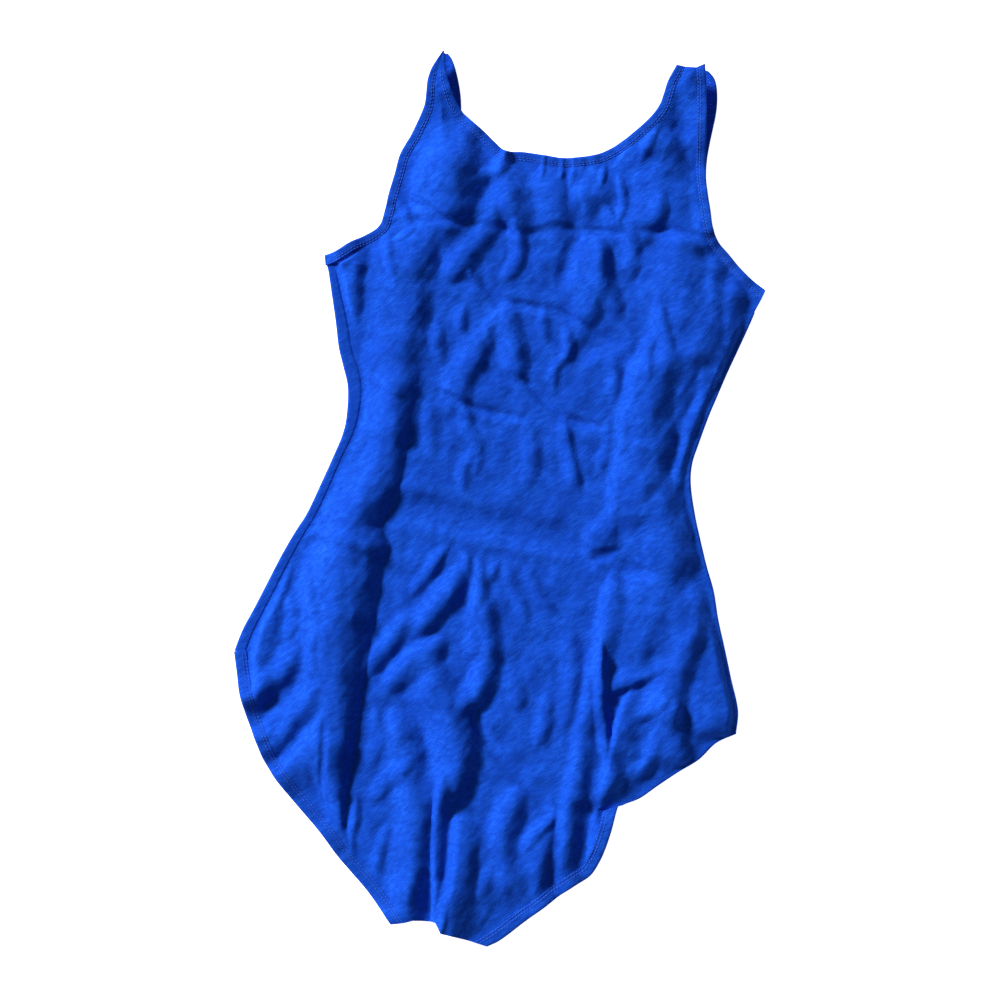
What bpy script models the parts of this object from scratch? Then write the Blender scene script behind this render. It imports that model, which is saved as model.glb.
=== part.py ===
"""Tank leotard of blue stretch knit, laid flat with its front up and its neck towards +Y.

Sizes in the tables are millimetres, read across the laid garment from its middle.
Picture left is -X. Every solid is made in metres.
"""
import math
from collections import namedtuple

import bmesh
import bpy
import numpy as np

# Named sizes
MM = 0.001
CLOTH = 1.2
HEM = 1.6
GAP = 0.3
SEAM_GAP = 0.5
LEG_HEM = 9.5
NECK_HEM = 7.0
NECK_CLEAR = 0.9
REST = HEM + GAP
SOFT = 0.3
BACK_IN = 1.0
UNDER_WRAP = 9.0
TURN = 1.7
LOFT = 1.8

# Main sections of the hips, crotch first: both outlines, matched row by row
Section = namedtuple("Section", "left_x left_y right_x right_y")
HIPS = [
    Section(-46, -332, 28, -339),
    Section(-54, -323.5, 37, -333),
    Section(-67, -310, 50, -320),
    Section(-80, -298.5, 62, -308),
    Section(-93, -287, 74, -296),
    Section(-106, -273.5, 86, -285),
    Section(-120, -261, 97, -276),
    Section(-134, -248.5, 102.5, -265),
    Section(-147, -236, 106, -252),
    Section(-157, -224.5, 108.3, -239),
    Section(-163, -214.5, 109.5, -228),
    Section(-169, -204, 114, -220),
    Section(-175, -193, 126, -213),
    Section(-179.5, -183, 139, -201),
    Section(-183, -174.5, 152, -189.5),
    Section(-185.5, -166, 166, -178),
    Section(-188, -157, 177, -164),
    Section(-191, -146, 191, -155),
]
HEM_ROWS = 10

# Sections of the body between hip and underarm, and how far the side seam lies on top
Side = namedtuple("Side", "left_x left_y seam right_x right_y")
SIDES = [
    Side(-191, -146, 8.2, 191, -155),
    Side(-187, -129, 8.5, 190, -137),
    Side(-180, -110, 8, 181.5, -114),
    Side(-173, -90, 8, 173.5, -92),
    Side(-166, -70, 8, 166, -72),
    Side(-158.5, -51.5, 7.5, 159.5, -51),
    Side(-151, -35, 7, 152, -34),
    Side(-144.5, -14, 7, 144.5, -15),
    Side(-138, 8, 6.5, 137.5, 4),
    Side(-133, 27, 7.5, 131.5, 25),
    Side(-132, 42, 9, 130.2, 41),
    Side(-134, 62, 10.5, 133, 57),
    Side(-139.5, 77, 11.5, 137.5, 78),
    Side(-145, 91, 10, 141.5, 93),
    Side(-150, 110, 9, 147, 113),
    Side(-155.5, 129, 7.5, 152.5, 131),
    Side(-160.5, 146, 6, 159, 153),
    Side(-162.6, 150.5, 5.1, 164, 170.3),
]

# Sections of the armholes, underarm tip first
FRONT_ARMS = [
    Section(-165, 158, 166.5, 178),
    Section(-157, 162, 155, 184.5),
    Section(-147, 170.5, 145, 192),
    Section(-137, 177, 135, 201),
    Section(-127.5, 185.5, 126, 209),
    Section(-125, 198, 120.3, 219),
    Section(-123.7, 212, 117, 230.5),
    Section(-121.5, 226, 113.5, 242),
    Section(-119.5, 241, 111, 251.5),
    Section(-113.5, 256, 109, 262),
    Section(-109, 270, 108, 271),
]
BACK_ARMS = [
    Section(-164, 158, 165.5, 177.5),
    Section(-156, 161, 154.5, 183.3),
    Section(-146.5, 169, 144.5, 190.8),
    Section(-136, 175.5, 134.5, 199.8),
    Section(-126.5, 184.5, 125.5, 207.6),
    Section(-124, 198, 119.5, 217.7),
    Section(-122.6, 212, 116, 229.5),
    Section(-120, 226, 113, 240.5),
    Section(-117.5, 241, 111.3, 251),
    Section(-111.5, 256, 109.8, 262),
    Section(-107, 270, 109.4, 271),
]

# Sections of each strap, from the body up to the shoulder: armhole edge, neck edge, hem width
Strap = namedtuple("Strap", "arm_x arm_y neck_x neck_y hem")
FRONT_LEFT_STRAP = [
    Strap(-109, 270, -76.5, 277.8, 7),
    Strap(-106.5, 280, -82, 284, 6.8),
    Strap(-106.4, 289, -86.5, 291, 6.4),
    Strap(-106.8, 297, -90, 298, 5.9),
    Strap(-106.3, 302, -92.3, 303, 5.4),
]
FRONT_RIGHT_STRAP = [
    Strap(108, 271, 47, 275.8, 7),
    Strap(106.5, 282, 56, 285.7, 7),
    Strap(105, 293, 63, 294.7, 7),
    Strap(103.8, 304, 68, 304, 7),
    Strap(102.3, 314, 70, 313, 7),
    Strap(100.6, 324, 71.8, 323, 7),
    Strap(97.3, 338.6, 76.5, 335, 7),
]
BACK_LEFT_STRAP = [
    Strap(-107, 270, -76.5, 262, 7),
    Strap(-104.6, 283, -78.2, 278, 7),
    Strap(-104, 292, -80.3, 290, 6.6),
    Strap(-103.3, 300, -83.2, 300, 6),
    Strap(-101.5, 307, -86.2, 308, 5.4),
]
BACK_RIGHT_STRAP = [
    Strap(109.4, 271, 78, 262, 7),
    Strap(109.8, 281, 80, 276, 7),
    Strap(110.6, 292, 81.5, 290, 7),
    Strap(111.3, 302, 82.5, 303, 7),
    Strap(111.2, 311, 83.5, 314, 7),
    Strap(109.6, 323, 84.5, 324, 7),
    Strap(105.3, 331.3, 86, 331, 7),
]

# The neck edge between the straps
Edge = namedtuple("Edge", "x y")
FRONT_NECK = [
    Edge(-76.5, 277.8), Edge(-68, 272.2), Edge(-59, 266.4), Edge(-50, 259.6),
    Edge(-41, 254.4), Edge(-28, 255.5), Edge(-12, 255.4), Edge(2, 255.2),
    Edge(16, 258), Edge(28, 262), Edge(38, 268.3), Edge(47, 275.8),
]
BACK_NECK = [
    Edge(-72, 214), Edge(-64, 185), Edge(-52, 163), Edge(-34, 147), Edge(-12, 140.3),
    Edge(10, 140.3), Edge(32, 147), Edge(51, 165), Edge(64, 188), Edge(72, 214),
]

# The shoulder tips of the left strap, where only the neck hems go on: neck edge and width
Tip = namedtuple("Tip", "x y width")
FRONT_TIP = [Tip(-94.6, 309.5, 6.4), Tip(-96, 315.5, 4.4), Tip(-96.9, 320.8, 2.2)]
BACK_TIP = [Tip(-89, 313, 5.6), Tip(-91, 317, 4.8), Tip(-93.6, 320.3, 3)]

# The bottom of the crotch, with the step where a fold edge crosses it in front
FRONT_CROTCH = [
    Edge(-35.4, -329.1), Edge(-30, -327), Edge(-13, -326), Edge(-8, -333.3),
    Edge(8, -335.6), Edge(17.2, -337.1),
]
BACK_CROTCH = [Edge(-35.4, -328), Edge(-20, -325), Edge(0, -327), Edge(17.2, -334)]

# The large press fold at the left: its crest, the valley beside it and its height
Roll = namedtuple("Roll", "y crest valley height")
ROLL = [
    Roll(-280, -87, -84, 1.5), Roll(-262, -91, -88.5, 4), Roll(-240, -96, -91, 7),
    Roll(-222, -100, -92, 10), Roll(-200, -101, -91, 12), Roll(-178, -104, -89, 13),
    Roll(-160, -107, -89, 13.5), Roll(-142, -111, -87, 14), Roll(-118, -116, -88, 14),
    Roll(-105, -113, -87, 13), Roll(-85, -110, -83, 12.5), Roll(-65, -108, -86, 12),
    Roll(-50, -110, -88, 12), Roll(-38, -111, -91, 13), Roll(-20, -105, -86, 12),
    Roll(0, -97, -83, 10), Roll(20, -91, -82, 8), Roll(40, -90, -82, 6),
    Roll(62, -92, -81, 3), Roll(80, -93, -80, 0),
]
ROLL_LIT = 34.0

# Lines that the columns follow: roll crest, roll valley, right press line, right lip
Guide = namedtuple("Guide", "y crest valley press lip")
GUIDES = [
    Guide(-330, -87, -84, 62, 92), Guide(-268, -90, -87, 67, 94), Guide(-240, -96, -91, 67, 96),
    Guide(-200, -101, -91, 67, 100), Guide(-187, -102, -90, 67, 97), Guide(-155, -108, -88, 70, 88),
    Guide(-130, -114, -88, 71, 83), Guide(-100, -112, -86, 75, 80), Guide(-60, -108, -86, 74, 80),
    Guide(-38, -111, -91, 73, 82), Guide(0, -97, -83, 72, 80), Guide(60, -92, -81, 71, 79),
    Guide(110, -95, -79, 68, 80), Guide(170, -92, -76, 62, 80),
]

# Where the right leg hem runs in beneath the folded hip, no fold lifts the cloth
PRESSED = Edge(108, -221)
PRESSED_REACH = 22.0

# Main folds, each drawn upwards or to the right: height, width of its lit side and of its
# shaded side, and the path of its crest
Fold = namedtuple("Fold", "height lit shade path")
MAIN_FOLDS = [
    # Chest and straps
    Fold(5.5, 22, 10, ((-73, 196), (-79, 212), (-77, 226), (-75, 242), (-76, 262), (-80, 276))),
    Fold(4.0, 12, 9, ((-76, 166), (-78, 178), (-79, 190), (-77, 200))),
    Fold(4.0, 14, 13, ((-92, 86), (-93, 105), (-92, 118), (-98, 127), (-94, 142), (-92, 158), (-93, 180))),
    Fold(4.0, 10, 12, ((-140, 116), (-137, 135), (-138, 150), (-137, 166))),
    Fold(3.0, 14, 9, ((-26, 196), (-28, 212), (-31, 226), (-38, 236), (-41, 250))),
    Fold(2.6, 13, 9, ((3, 208), (1, 222), (-2, 233), (-3, 246))),
    Fold(2.6, 7, 9, ((33, 230), (30, 240), (26, 251))),
    Fold(3.2, 5, 14, ((41, 219), (43, 231), (47, 240), (46, 247), (40, 253))),
    Fold(3.0, 10, 7, ((75, 209), (77, 218), (78, 227), (78, 235))),
    Fold(4.5, 22, 20, ((101, 230), (90, 248), (78, 264), (73, 284))),
    Fold(3.0, 8, 9, ((62, 263), (64, 275), (70, 286), (76, 301), (80, 320))),
    Fold(3.5, 12, 9, ((119, 128), (118, 142), (112, 156), (107, 170), (106, 184), (111, 198))),
    Fold(3.0, 9, 9, ((129, 158), (129, 175), (127, 190))),
    Fold(3.0, 14, 8, ((41, 158), (39, 172), (36, 188), (32, 200))),
    Fold(2.6, 10, 8, ((56, 170), (57, 185), (58, 203))),
    Fold(3.0, 12, 9, ((-66, 148), (-57, 165), (-50, 178), (-44, 196))),
    Fold(3.0, 8, 8, ((-15, 92), (-17, 106), (-19, 118), (-20, 130), (-25, 140))),
    # Waist and belly
    Fold(3.0, 16, 9, ((94, 20), (99, 36), (104, 50), (104, 62), (98, 72), (98, 95), (98, 112))),
    Fold(2.4, 8, 9, ((122, 30), (124, 48), (124, 64), (128, 80), (130, 98), (126, 112))),
    Fold(2.4, 10, 8, ((-48, 64), (-44, 84), (-40, 98), (-38, 116))),
    Fold(3.6, 8, 22, ((81, -12), (80, 0), (79, 20), (78, 40), (78, 60), (82, 80))),
    Fold(2.8, 14, 12, ((122, -22), (117, -5), (112, 12), (107, 30))),
    Fold(1.8, 14, 14, ((-80, -9), (-30, -9), (20, -8), (66, -6))),
    Fold(1.5, 8, 8, ((-84, -38), (-40, -37), (20, -37), (60, -40))),
    Fold(-6.0, 9, 9, ((80, -38), (80, -28), (80, -17))),
    Fold(2.6, 7, 7, ((58, -47), (72, -48), (90, -46))),
    Fold(2.2, 8, 7, ((-146, -49), (-130, -51), (-110, -54))),
    # Right hip and the mouth of its pleat
    Fold(4.5, 7, 26, ((80, -102), (81, -80), (80, -52))),
    Fold(6.0, 12, 5, ((97, -190), (92, -172), (88, -155), (83, -130), (79, -106))),
    Fold(5.5, 5, 26, ((100, -186), (101, -165), (104, -145), (106, -134))),
    Fold(4.0, 14, 6, ((88, -137), (100, -130), (113, -124), (126, -117))),
    Fold(5.0, 8, 10, ((95, -268), (96, -245), (100, -222), (101, -200), (99, -186))),
    Fold(5.0, 9, 11, ((84, -287), (80, -262), (77, -235), (75, -205), (74, -180), (75, -150), (77, -110))),
    Fold(2.4, 12, 8, ((61, -290), (60, -262), (61, -235))),
    Fold(4.0, 16, 10, ((139, -154), (139, -130), (142, -110), (147, -88), (149, -66))),
    Fold(3.2, 20, 16, ((117, -96), (119, -75), (122, -52))),
    Fold(2.4, 9, 8, ((157, -182), (150, -171), (144, -156))),
    # Left hip
    Fold(4.2, 9, 10, ((-168, -178), (-159, -161), (-150, -148))),
    Fold(3.2, 12, 10, ((-152, -208), (-142, -191), (-134, -178), (-127, -166))),
    Fold(4.0, 7, 14, ((-173, -172), (-176, -150), (-175, -128), (-169, -106))),
    # Crotch
    Fold(3.2, 13, 8, ((-54, -110), (-43, -94), (-33, -78), (-27, -64))),
    Fold(2.8, 9, 8, ((-87, -146), (-77, -129), (-69, -115), (-61, -100))),
    Fold(3.6, 9, 8, ((-67, -151), (-56, -139), (-46, -128), (-31, -117))),
    Fold(7.0, 18, 11, ((-23, -234), (-15, -207), (-16, -190), (-22, -175), (-32, -162), (-42, -151), (-45, -138))),
    Fold(3.5, 12, 9, ((-9, -160), (-4, -143), (-3, -125), (-8, -108), (-9, -92), (-12, -74))),
    Fold(3.2, 12, 8, ((31, -288), (31, -264), (33, -246), (32, -226))),
    Fold(4.0, 9, 13, ((-2, -345), (0, -305), (-4, -282), (-7, -262), (-11, -242))),
    Fold(4.2, 6, 14, ((-11, -335), (-15, -308), (-18, -290), (-20, -265), (-23, -240), (-24, -220))),
    Fold(4.2, 14, 9, ((-40, -340), (-36, -308), (-34, -285), (-36, -262), (-38, -236))),
]


# Curves
def curve(points, steps=8):
    """A smooth line through the points, with some steps between each two."""
    pts = np.array(points, float)
    ends = np.vstack([2 * pts[0] - pts[1], pts, 2 * pts[-1] - pts[-2]])
    line = []
    for i in range(len(pts) - 1):
        a, b, c, d = ends[i:i + 4]
        for k in range(steps):
            t = k / steps
            line.append(0.5 * (2 * b + (c - a) * t + (2 * a - 5 * b + 4 * c - d) * t * t
                               + (3 * b - a - 3 * c + d) * t ** 3))
    line.append(pts[-1])
    return np.array(line)


def spaced(points, count):
    """Evenly spaced points along a smooth line, one more than count."""
    line = curve(points)
    run = np.concatenate([[0], np.cumsum(np.hypot(*np.diff(line[:, :2], axis=0).T))])
    want = np.linspace(0, run[-1], count + 1)
    return np.stack([np.interp(want, run, line[:, k]) for k in range(line.shape[1])], 1)


def matched(table, first, last, count):
    """Rows of a table of matched sections, from row first to row last, count steps."""
    line = curve(table, 16)
    want = np.linspace(first, last, count + 1) * 16
    index = np.arange(len(line))
    return np.stack([np.interp(want, index, line[:, k]) for k in range(line.shape[1])], 1)


def inward(points, hand):
    """Unit vectors across a line, to its right for hand 1 and to its left for hand -1."""
    run = np.gradient(points[:, :2], axis=0)
    run /= np.hypot(run[:, 0], run[:, 1])[:, None]
    return hand * np.stack([run[:, 1], -run[:, 0]], 1)


def ease(t):
    t = np.clip(t, 0, 1)
    return t * t * (3 - 2 * t)


# Height of the front cloth's underside
def fold_height(fold, x, y):
    """The height of one fold at each place: soft on both sides, fading at both ends."""
    line = curve(fold.path, 5)
    best = np.full(x.shape, 1e9)
    side = np.zeros(x.shape)
    along = np.zeros(x.shape)
    lengths = np.hypot(*np.diff(line, axis=0).T)
    total = lengths.sum()
    start = 0.0
    for a, b, size in zip(line[:-1], line[1:], lengths):
        u = (b - a) / size
        px, py = x - a[0], y - a[1]
        s = np.clip(px * u[0] + py * u[1], 0, size)
        dx, dy = px - s * u[0], py - s * u[1]
        dist = np.hypot(dx, dy)
        near = dist < best
        best = np.where(near, dist, best)
        side = np.where(near, np.sign(px * u[1] - py * u[0]), side)
        along = np.where(near, start + s, along)
        start += size
    width = np.where(side > 0, fold.shade, fold.lit)
    across = np.clip(1 - (best / width) ** 2, 0, 1) ** 2
    fade = 0.28 * total
    return fold.height * across * ease(along / fade) * ease((total - along) / fade)


def roll_height(x, y):
    """The large roll: a soft lit flank, then a round drop into its sharp valley."""
    rows = np.array(ROLL)
    crest, valley, top = (np.interp(y, rows[:, 0], rows[:, k]) for k in (1, 2, 3))
    lit = np.clip(1 - ((crest - x) / ROLL_LIT) ** 2, 0, 1) ** 2
    drop = 1 - np.clip((x - crest) / np.maximum(valley - crest, 1), 0, 1) ** 3
    inside = (y > rows[0, 0]) & (y < rows[-1, 0])
    return np.where(inside, top * np.where(x < crest, lit, drop), 0)


def front_height(x, y, edge, fade, folds):
    """Underside of the front cloth: its rest height, its loft and every fold."""
    fade = fade * ease(np.hypot(x - PRESSED.x, y - PRESSED.y) / PRESSED_REACH)
    lift = LOFT * ease(edge / 24) + roll_height(x, y) * fade
    for fold in folds:
        lift = lift + fold_height(fold, x, y) * fade
    return REST + 0.5 * (lift + np.sqrt(lift * lift + 4 * SOFT * SOFT))


# The grids of the panels
def stations(left, right, y, columns):
    """Where each column stands on a row, from 0 at its left edge to 1 at its right."""
    rows = np.array(GUIDES)
    lines = [np.interp(y, rows[:, 0], rows[:, k]) for k in (1, 2, 3, 4)]
    marks = [0, 6, 10, 25, 28, 37]
    width = right - left
    at = [0.0]
    for mark, line in zip(marks[1:-1], lines):
        low = at[-1] + 0.45 * (mark - marks[len(at) - 1]) / 37
        high = 1 - 0.45 * (37 - mark) / 37
        at.append(min(max((line - left) / width, low), high))
    at.append(1.0)
    return np.interp(columns, marks, at)


def strap_grid(base, arm, neck):
    """Rows of a strap between its armhole edge and its neck edge, above a base row."""
    rows = [base]
    s = np.linspace(0, 1, len(base))[:, None]
    for a, n in zip(arm[1:], neck[1:]):
        rows.append(a * (1 - s) + n * s)
    return np.array(rows)


def panel_grid(left, right, top, bend, crotch, guided):
    """Rows of a body panel, bent up to its neck row within the last rows of bend."""
    columns = np.linspace(0, 37, len(top))
    at_top = (top[:, 0] - top[0, 0]) / (top[-1, 0] - top[0, 0])
    rise = top[:, 1] - (top[0, 1] + (top[-1, 1] - top[0, 1]) * at_top)
    last = len(left) - 1
    rows = []
    for i, (a, b) in enumerate(zip(left, right)):
        pull = ease((i - (last - bend)) / bend)
        s = columns / 37
        if guided:
            s = stations(a[0], b[0], 0.5 * (a[1] + b[1]), columns)
        s = s * (1 - pull) + at_top * pull
        row = a + (b - a) * s[:, None]
        row[:, 1] += pull * rise
        rows.append(row)
    rows[0][1:-1, 1] = np.interp(rows[0][1:-1, 0], crotch[:, 0], crotch[:, 1])
    rows[-1] = top.copy()
    return np.array(rows)


def faces_of(grid_index, flip):
    """Quads between the rows of an index grid."""
    quads = []
    for r in range(len(grid_index) - 1):
        for c in range(len(grid_index[0]) - 1):
            quad = (grid_index[r][c], grid_index[r][c + 1], grid_index[r + 1][c + 1],
                    grid_index[r + 1][c])
            quads.append(quad[::-1] if flip else quad)
    return quads


class Sheet:
    """Points and quads of one open sheet of cloth, in millimetres."""

    def __init__(self):
        self.points = []
        self.quads = []

    def add(self, rows):
        index = []
        for row in rows:
            index.append(list(range(len(self.points), len(self.points) + len(row))))
            self.points.extend(tuple(float(v) for v in p) for p in row)
        return index


def make_cloth(name, sheet, material, collection):
    """A closed wall from an open sheet: the sheet is its inner face."""
    mesh = bpy.data.meshes.new(name)
    mesh.from_pydata([tuple(v * MM for v in p) for p in sheet.points], [], sheet.quads)
    obj = bpy.data.objects.new(name, mesh)
    collection.objects.link(obj)
    wall = obj.modifiers.new("wall", "SOLIDIFY")
    wall.thickness = CLOTH * MM
    wall.offset = 1.0
    wall.use_even_offset = True
    wall.use_quality_normals = True
    wall.show_viewport = True
    wall.show_render = True
    mesh.materials.append(material)
    return obj


def make_hem(name, outer, inner, low, material, collection):
    """A closed band between two edges, rounded at its outer edge."""
    inner, outer = np.array(inner), np.array(outer)
    profile = ((0.0, 0.0), (0.92, 0.0), (1.0, 0.5), (0.86, 1.0), (0.06, 1.0))
    points, faces = [], []
    size = len(profile)
    for a, b, z in zip(inner, outer, low):
        for across, up in profile:
            p = a + (b - a) * across
            points.append((p[0] * MM, p[1] * MM, (z + up * HEM) * MM))
    for i in range(len(inner) - 1):
        for k in range(size):
            m = (k + 1) % size
            faces.append((i * size + k, i * size + m, (i + 1) * size + m, (i + 1) * size + k))
    faces.append(tuple(range(size))[::-1])
    faces.append(tuple(range((len(inner) - 1) * size, len(inner) * size)))
    mesh = bpy.data.meshes.new(name)
    mesh.from_pydata(points, [], faces)
    form = bmesh.new()
    form.from_mesh(mesh)
    bmesh.ops.recalc_face_normals(form, faces=form.faces)
    form.to_mesh(mesh)
    form.free()
    mesh.materials.append(material)
    obj = bpy.data.objects.new(name, mesh)
    collection.objects.link(obj)
    return obj


def knit(name, colour, roughness):
    """A matt knit finish."""
    material = bpy.data.materials.new(name)
    material.use_nodes = True
    shader = material.node_tree.nodes["Principled BSDF"]
    shader.inputs["Base Color"].default_value = (*colour, 1)
    shader.inputs["Roughness"].default_value = roughness
    shader.inputs["Metallic"].default_value = 0.0
    return material


# Edges shared by a panel and its hems
def leg_edges(inset, fine):
    """Both leg outlines, and the inner edges of their hems."""
    hips = matched(HIPS, 0, 17, 17 * fine)
    left = hips[:, 0:2] + inset * inward(hips[:, 0:2], 1)
    right = hips[:HEM_ROWS * fine + 1, 2:4]
    right = right + inset * inward(right, -1)
    left_in, right_in = inward(left, 1), inward(right, -1)
    left_in[0] = np.array((10.3, 2.8)) / LEG_HEM
    right_in[0] = np.array((-10.5, 1.8)) / LEG_HEM
    return hips, left, left_in, right, right_in


def arm_edges(arms, left_strap, right_strap, fine):
    """Both armhole outlines up to the shoulder, their widths and inward directions."""
    arm = matched(arms, 0, 10, 10 * fine)
    left_up = matched(left_strap, 0, len(left_strap) - 1, (len(left_strap) - 1) * fine)
    right_up = matched(right_strap, 0, len(right_strap) - 1, (len(right_strap) - 1) * fine)
    left = np.vstack([arm[:, 0:2], left_up[1:, 0:2]])
    right = np.vstack([arm[:, 2:4], right_up[1:, 0:2]])
    left_width = np.concatenate([np.full(len(arm), NECK_HEM), left_up[1:, 4]])
    right_width = np.concatenate([np.full(len(arm), NECK_HEM), right_up[1:, 4]])
    return arm, left_up, right_up, left, right, left_width[:, None], right_width[:, None]


def roll_under(corner, radius, start, end):
    """Points of a half turn beneath an edge at the right, then flat to its end."""
    x, y = corner
    row = []
    for angle in (45, 90, 135, 180):
        a = math.radians(angle)
        row.append((x + radius * math.sin(a), y, CLOTH + radius + radius * math.cos(a)))
    return row + [(start, y, CLOTH), (end, y, CLOTH)]


def roll_over(corner, radius, end):
    """Points of a half turn above an edge at the left, then flat to the seam on top."""
    x, y = corner
    row = []
    for angle in (45, 90, 135, 180):
        a = math.radians(angle)
        row.append((x - radius * math.sin(a), y, CLOTH + radius - radius * math.cos(a)))
    top = CLOTH + 2 * radius
    return row + [(0.5 * (x + end), y, top), (end, y, top)]


def front_parts(fine, folds, knit_blue, hem_blue, collection):
    """The front panel, its neck hem, armhole hems and leg hems."""
    hips, left_leg, leg_in, right_leg, right_leg_in = leg_edges(0.0, fine)
    left_leg_edge = left_leg + leg_in * (LEG_HEM + GAP)
    right_leg_edge = right_leg + right_leg_in * (LEG_HEM + GAP)
    side = matched(SIDES, 0.2, 17, 28 * fine)[1:]
    parts = arm_edges(FRONT_ARMS, FRONT_LEFT_STRAP, FRONT_RIGHT_STRAP, fine)
    arm, left_up, right_up, left_arm, right_arm, left_width, right_width = parts
    n_arm = len(arm)

    # The ends of the armhole hems are cut along the side seams and the shoulders
    left_in, right_in = inward(left_arm, 1), inward(right_arm, -1)
    left_in[0] = np.array((2.4, -6.8)) / NECK_HEM
    left_in[-1] = np.array((4.0, 5.5)) / left_width[-1]
    right_in[0] = np.array((-2.2, -7.2)) / NECK_HEM
    right_in[-1] = np.array((-6.2, -3.8)) / NECK_HEM
    left_arm_edge = left_arm + left_in * (left_width + GAP)
    right_arm_edge = right_arm + right_in * (right_width + GAP)
    neck = spaced(FRONT_NECK, 24 * fine)
    neck_line = np.vstack([left_up[::-1, 2:4], neck[1:-1], right_up[:, 2:4]])
    middle = np.full(len(neck) - 2, NECK_HEM)
    neck_width = np.concatenate([left_up[::-1, 4], middle, right_up[:, 4]])[:, None]
    neck_in = inward(neck_line, 1)
    neck_in[-1] = np.array((6.6, -0.6)) / NECK_HEM
    neck_edge = neck_line + neck_in * (neck_width + GAP)
    start, end = len(left_up) - 1, len(neck_line) - len(right_up)

    # Both edges of the body, crotch first, and its top row between the armholes
    seam = np.stack([side[:, 0] + side[:, 2] + SEAM_GAP, side[:, 1]], 1)
    seam[-1] = (-157.2, 153.2)
    left = np.vstack([left_leg_edge, seam, left_arm_edge[1:n_arm]])
    turned = np.vstack([hips[HEM_ROWS * fine + 1:, 2:4], side[:, 3:5]]) - (TURN, 0.0)
    turned[-1] = right_arm_edge[0]
    right = np.vstack([right_leg_edge, turned, right_arm_edge[1:n_arm]])
    left_top, right_top = left_arm_edge[n_arm - 1], right_arm_edge[n_arm - 1]
    part_left = np.linspace(0, 1, 5 * fine + 1)[:, None]
    part_right = np.linspace(0, 1, 8 * fine + 1)[:, None]
    top = np.vstack([
        left_top + (neck_edge[start] - left_top) * part_left,
        neck_edge[start + 1:end],
        neck_edge[end] + (right_top - neck_edge[end]) * part_right])
    body = panel_grid(left, right, top, 11 * fine, np.array(FRONT_CROTCH), True)
    rows, cols = body.shape[:2]

    # How far each point is from the edges, for the loft, and from the side seams
    from_left = body[:, :, 0] - body[:, :1, 0]
    from_right = body[:, -1:, 0] - body[:, :, 0]
    over = np.hypot(body[:, :, 0] - body[-1:, :, 0], body[:, :, 1] - body[-1:, :, 1])
    over[:, :5 * fine] = 99
    over[:, cols - 8 * fine:] = 99
    under = np.hypot(body[:, :, 0] - body[:1, :, 0], body[:, :, 1] - body[:1, :, 1])
    edge = np.minimum(np.minimum(from_left, from_right), np.minimum(over, under))
    fade = np.ones((rows, cols))
    first_side, first_roll = len(left_leg_edge), len(right_leg_edge)
    last_side = first_side + len(seam) - 1
    fade[first_side:last_side + 1] *= ease(from_left[first_side:last_side + 1] / 14)
    fade[first_roll:last_side + 1] *= ease(from_right[first_roll:last_side + 1] / 12)
    height = front_height(body[:, :, 0], body[:, :, 1], edge, fade, folds)

    # The sheet: the body, its right side rolled under as far as its seam, and the straps
    sheet = Sheet()
    main_index = sheet.add(np.dstack([body, height]))
    sheet.quads += faces_of(main_index, False)
    rolled = []
    for r in range(first_roll, last_side):
        x = body[r, -1, 0]
        radius = (height[r, -1] - CLOTH) / 2
        rolled.append(roll_under(body[r, -1], radius, x - 3.6, x + TURN - UNDER_WRAP))
    beneath = sheet.add(rolled)
    holders = [[main_index[first_roll + i][-1]] + row for i, row in enumerate(beneath)]
    sheet.quads += faces_of(holders, False)
    spans = (
        (left_arm_edge[n_arm - 1:], neck_edge[start::-1], slice(0, 5 * fine + 1)),
        (neck_edge[end:], right_arm_edge[n_arm - 1:], slice(cols - 1 - 8 * fine, cols)))
    for near, far, base in spans:
        grid = strap_grid(body[-1, base], near, far)
        shape = grid.shape[:2]
        low = front_height(grid[:, :, 0], grid[:, :, 1], np.full(shape, 3.0), np.ones(shape), folds)
        index = sheet.add(np.dstack([grid, low])[1:])
        sheet.quads += faces_of([main_index[-1][base]] + index, False)
    make_cloth("front_panel", sheet, knit_blue, collection)

    # The hems lie just outside the panel's edges and rise and fall with them
    def level(points):
        zero = np.zeros(len(points))
        return front_height(points[:, 0], points[:, 1], zero, zero + 1, folds)

    make_hem("front_leg_hem_left", left_leg, left_leg + leg_in * LEG_HEM,
             level(left_leg_edge), hem_blue, collection)
    make_hem("front_leg_hem_right", right_leg, right_leg + right_leg_in * LEG_HEM,
             level(right_leg_edge), hem_blue, collection)
    make_hem("front_armhole_hem_left", left_arm, left_arm + left_in * left_width,
             level(left_arm_edge), hem_blue, collection)
    make_hem("front_armhole_hem_right", right_arm, right_arm + right_in * right_width,
             level(right_arm_edge), hem_blue, collection)
    tip = matched(FRONT_TIP, 0, 2, 3 * fine)[::-1]
    line = np.vstack([tip[:, :2], neck_line])
    width = np.vstack([tip[:, 2:], neck_width])
    across = inward(line, 1)
    across[len(tip) + 1:] = neck_in[1:]
    make_hem("front_neck_hem", line, line + across * width, level(line + across * (width + GAP)),
             hem_blue, collection)


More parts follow.
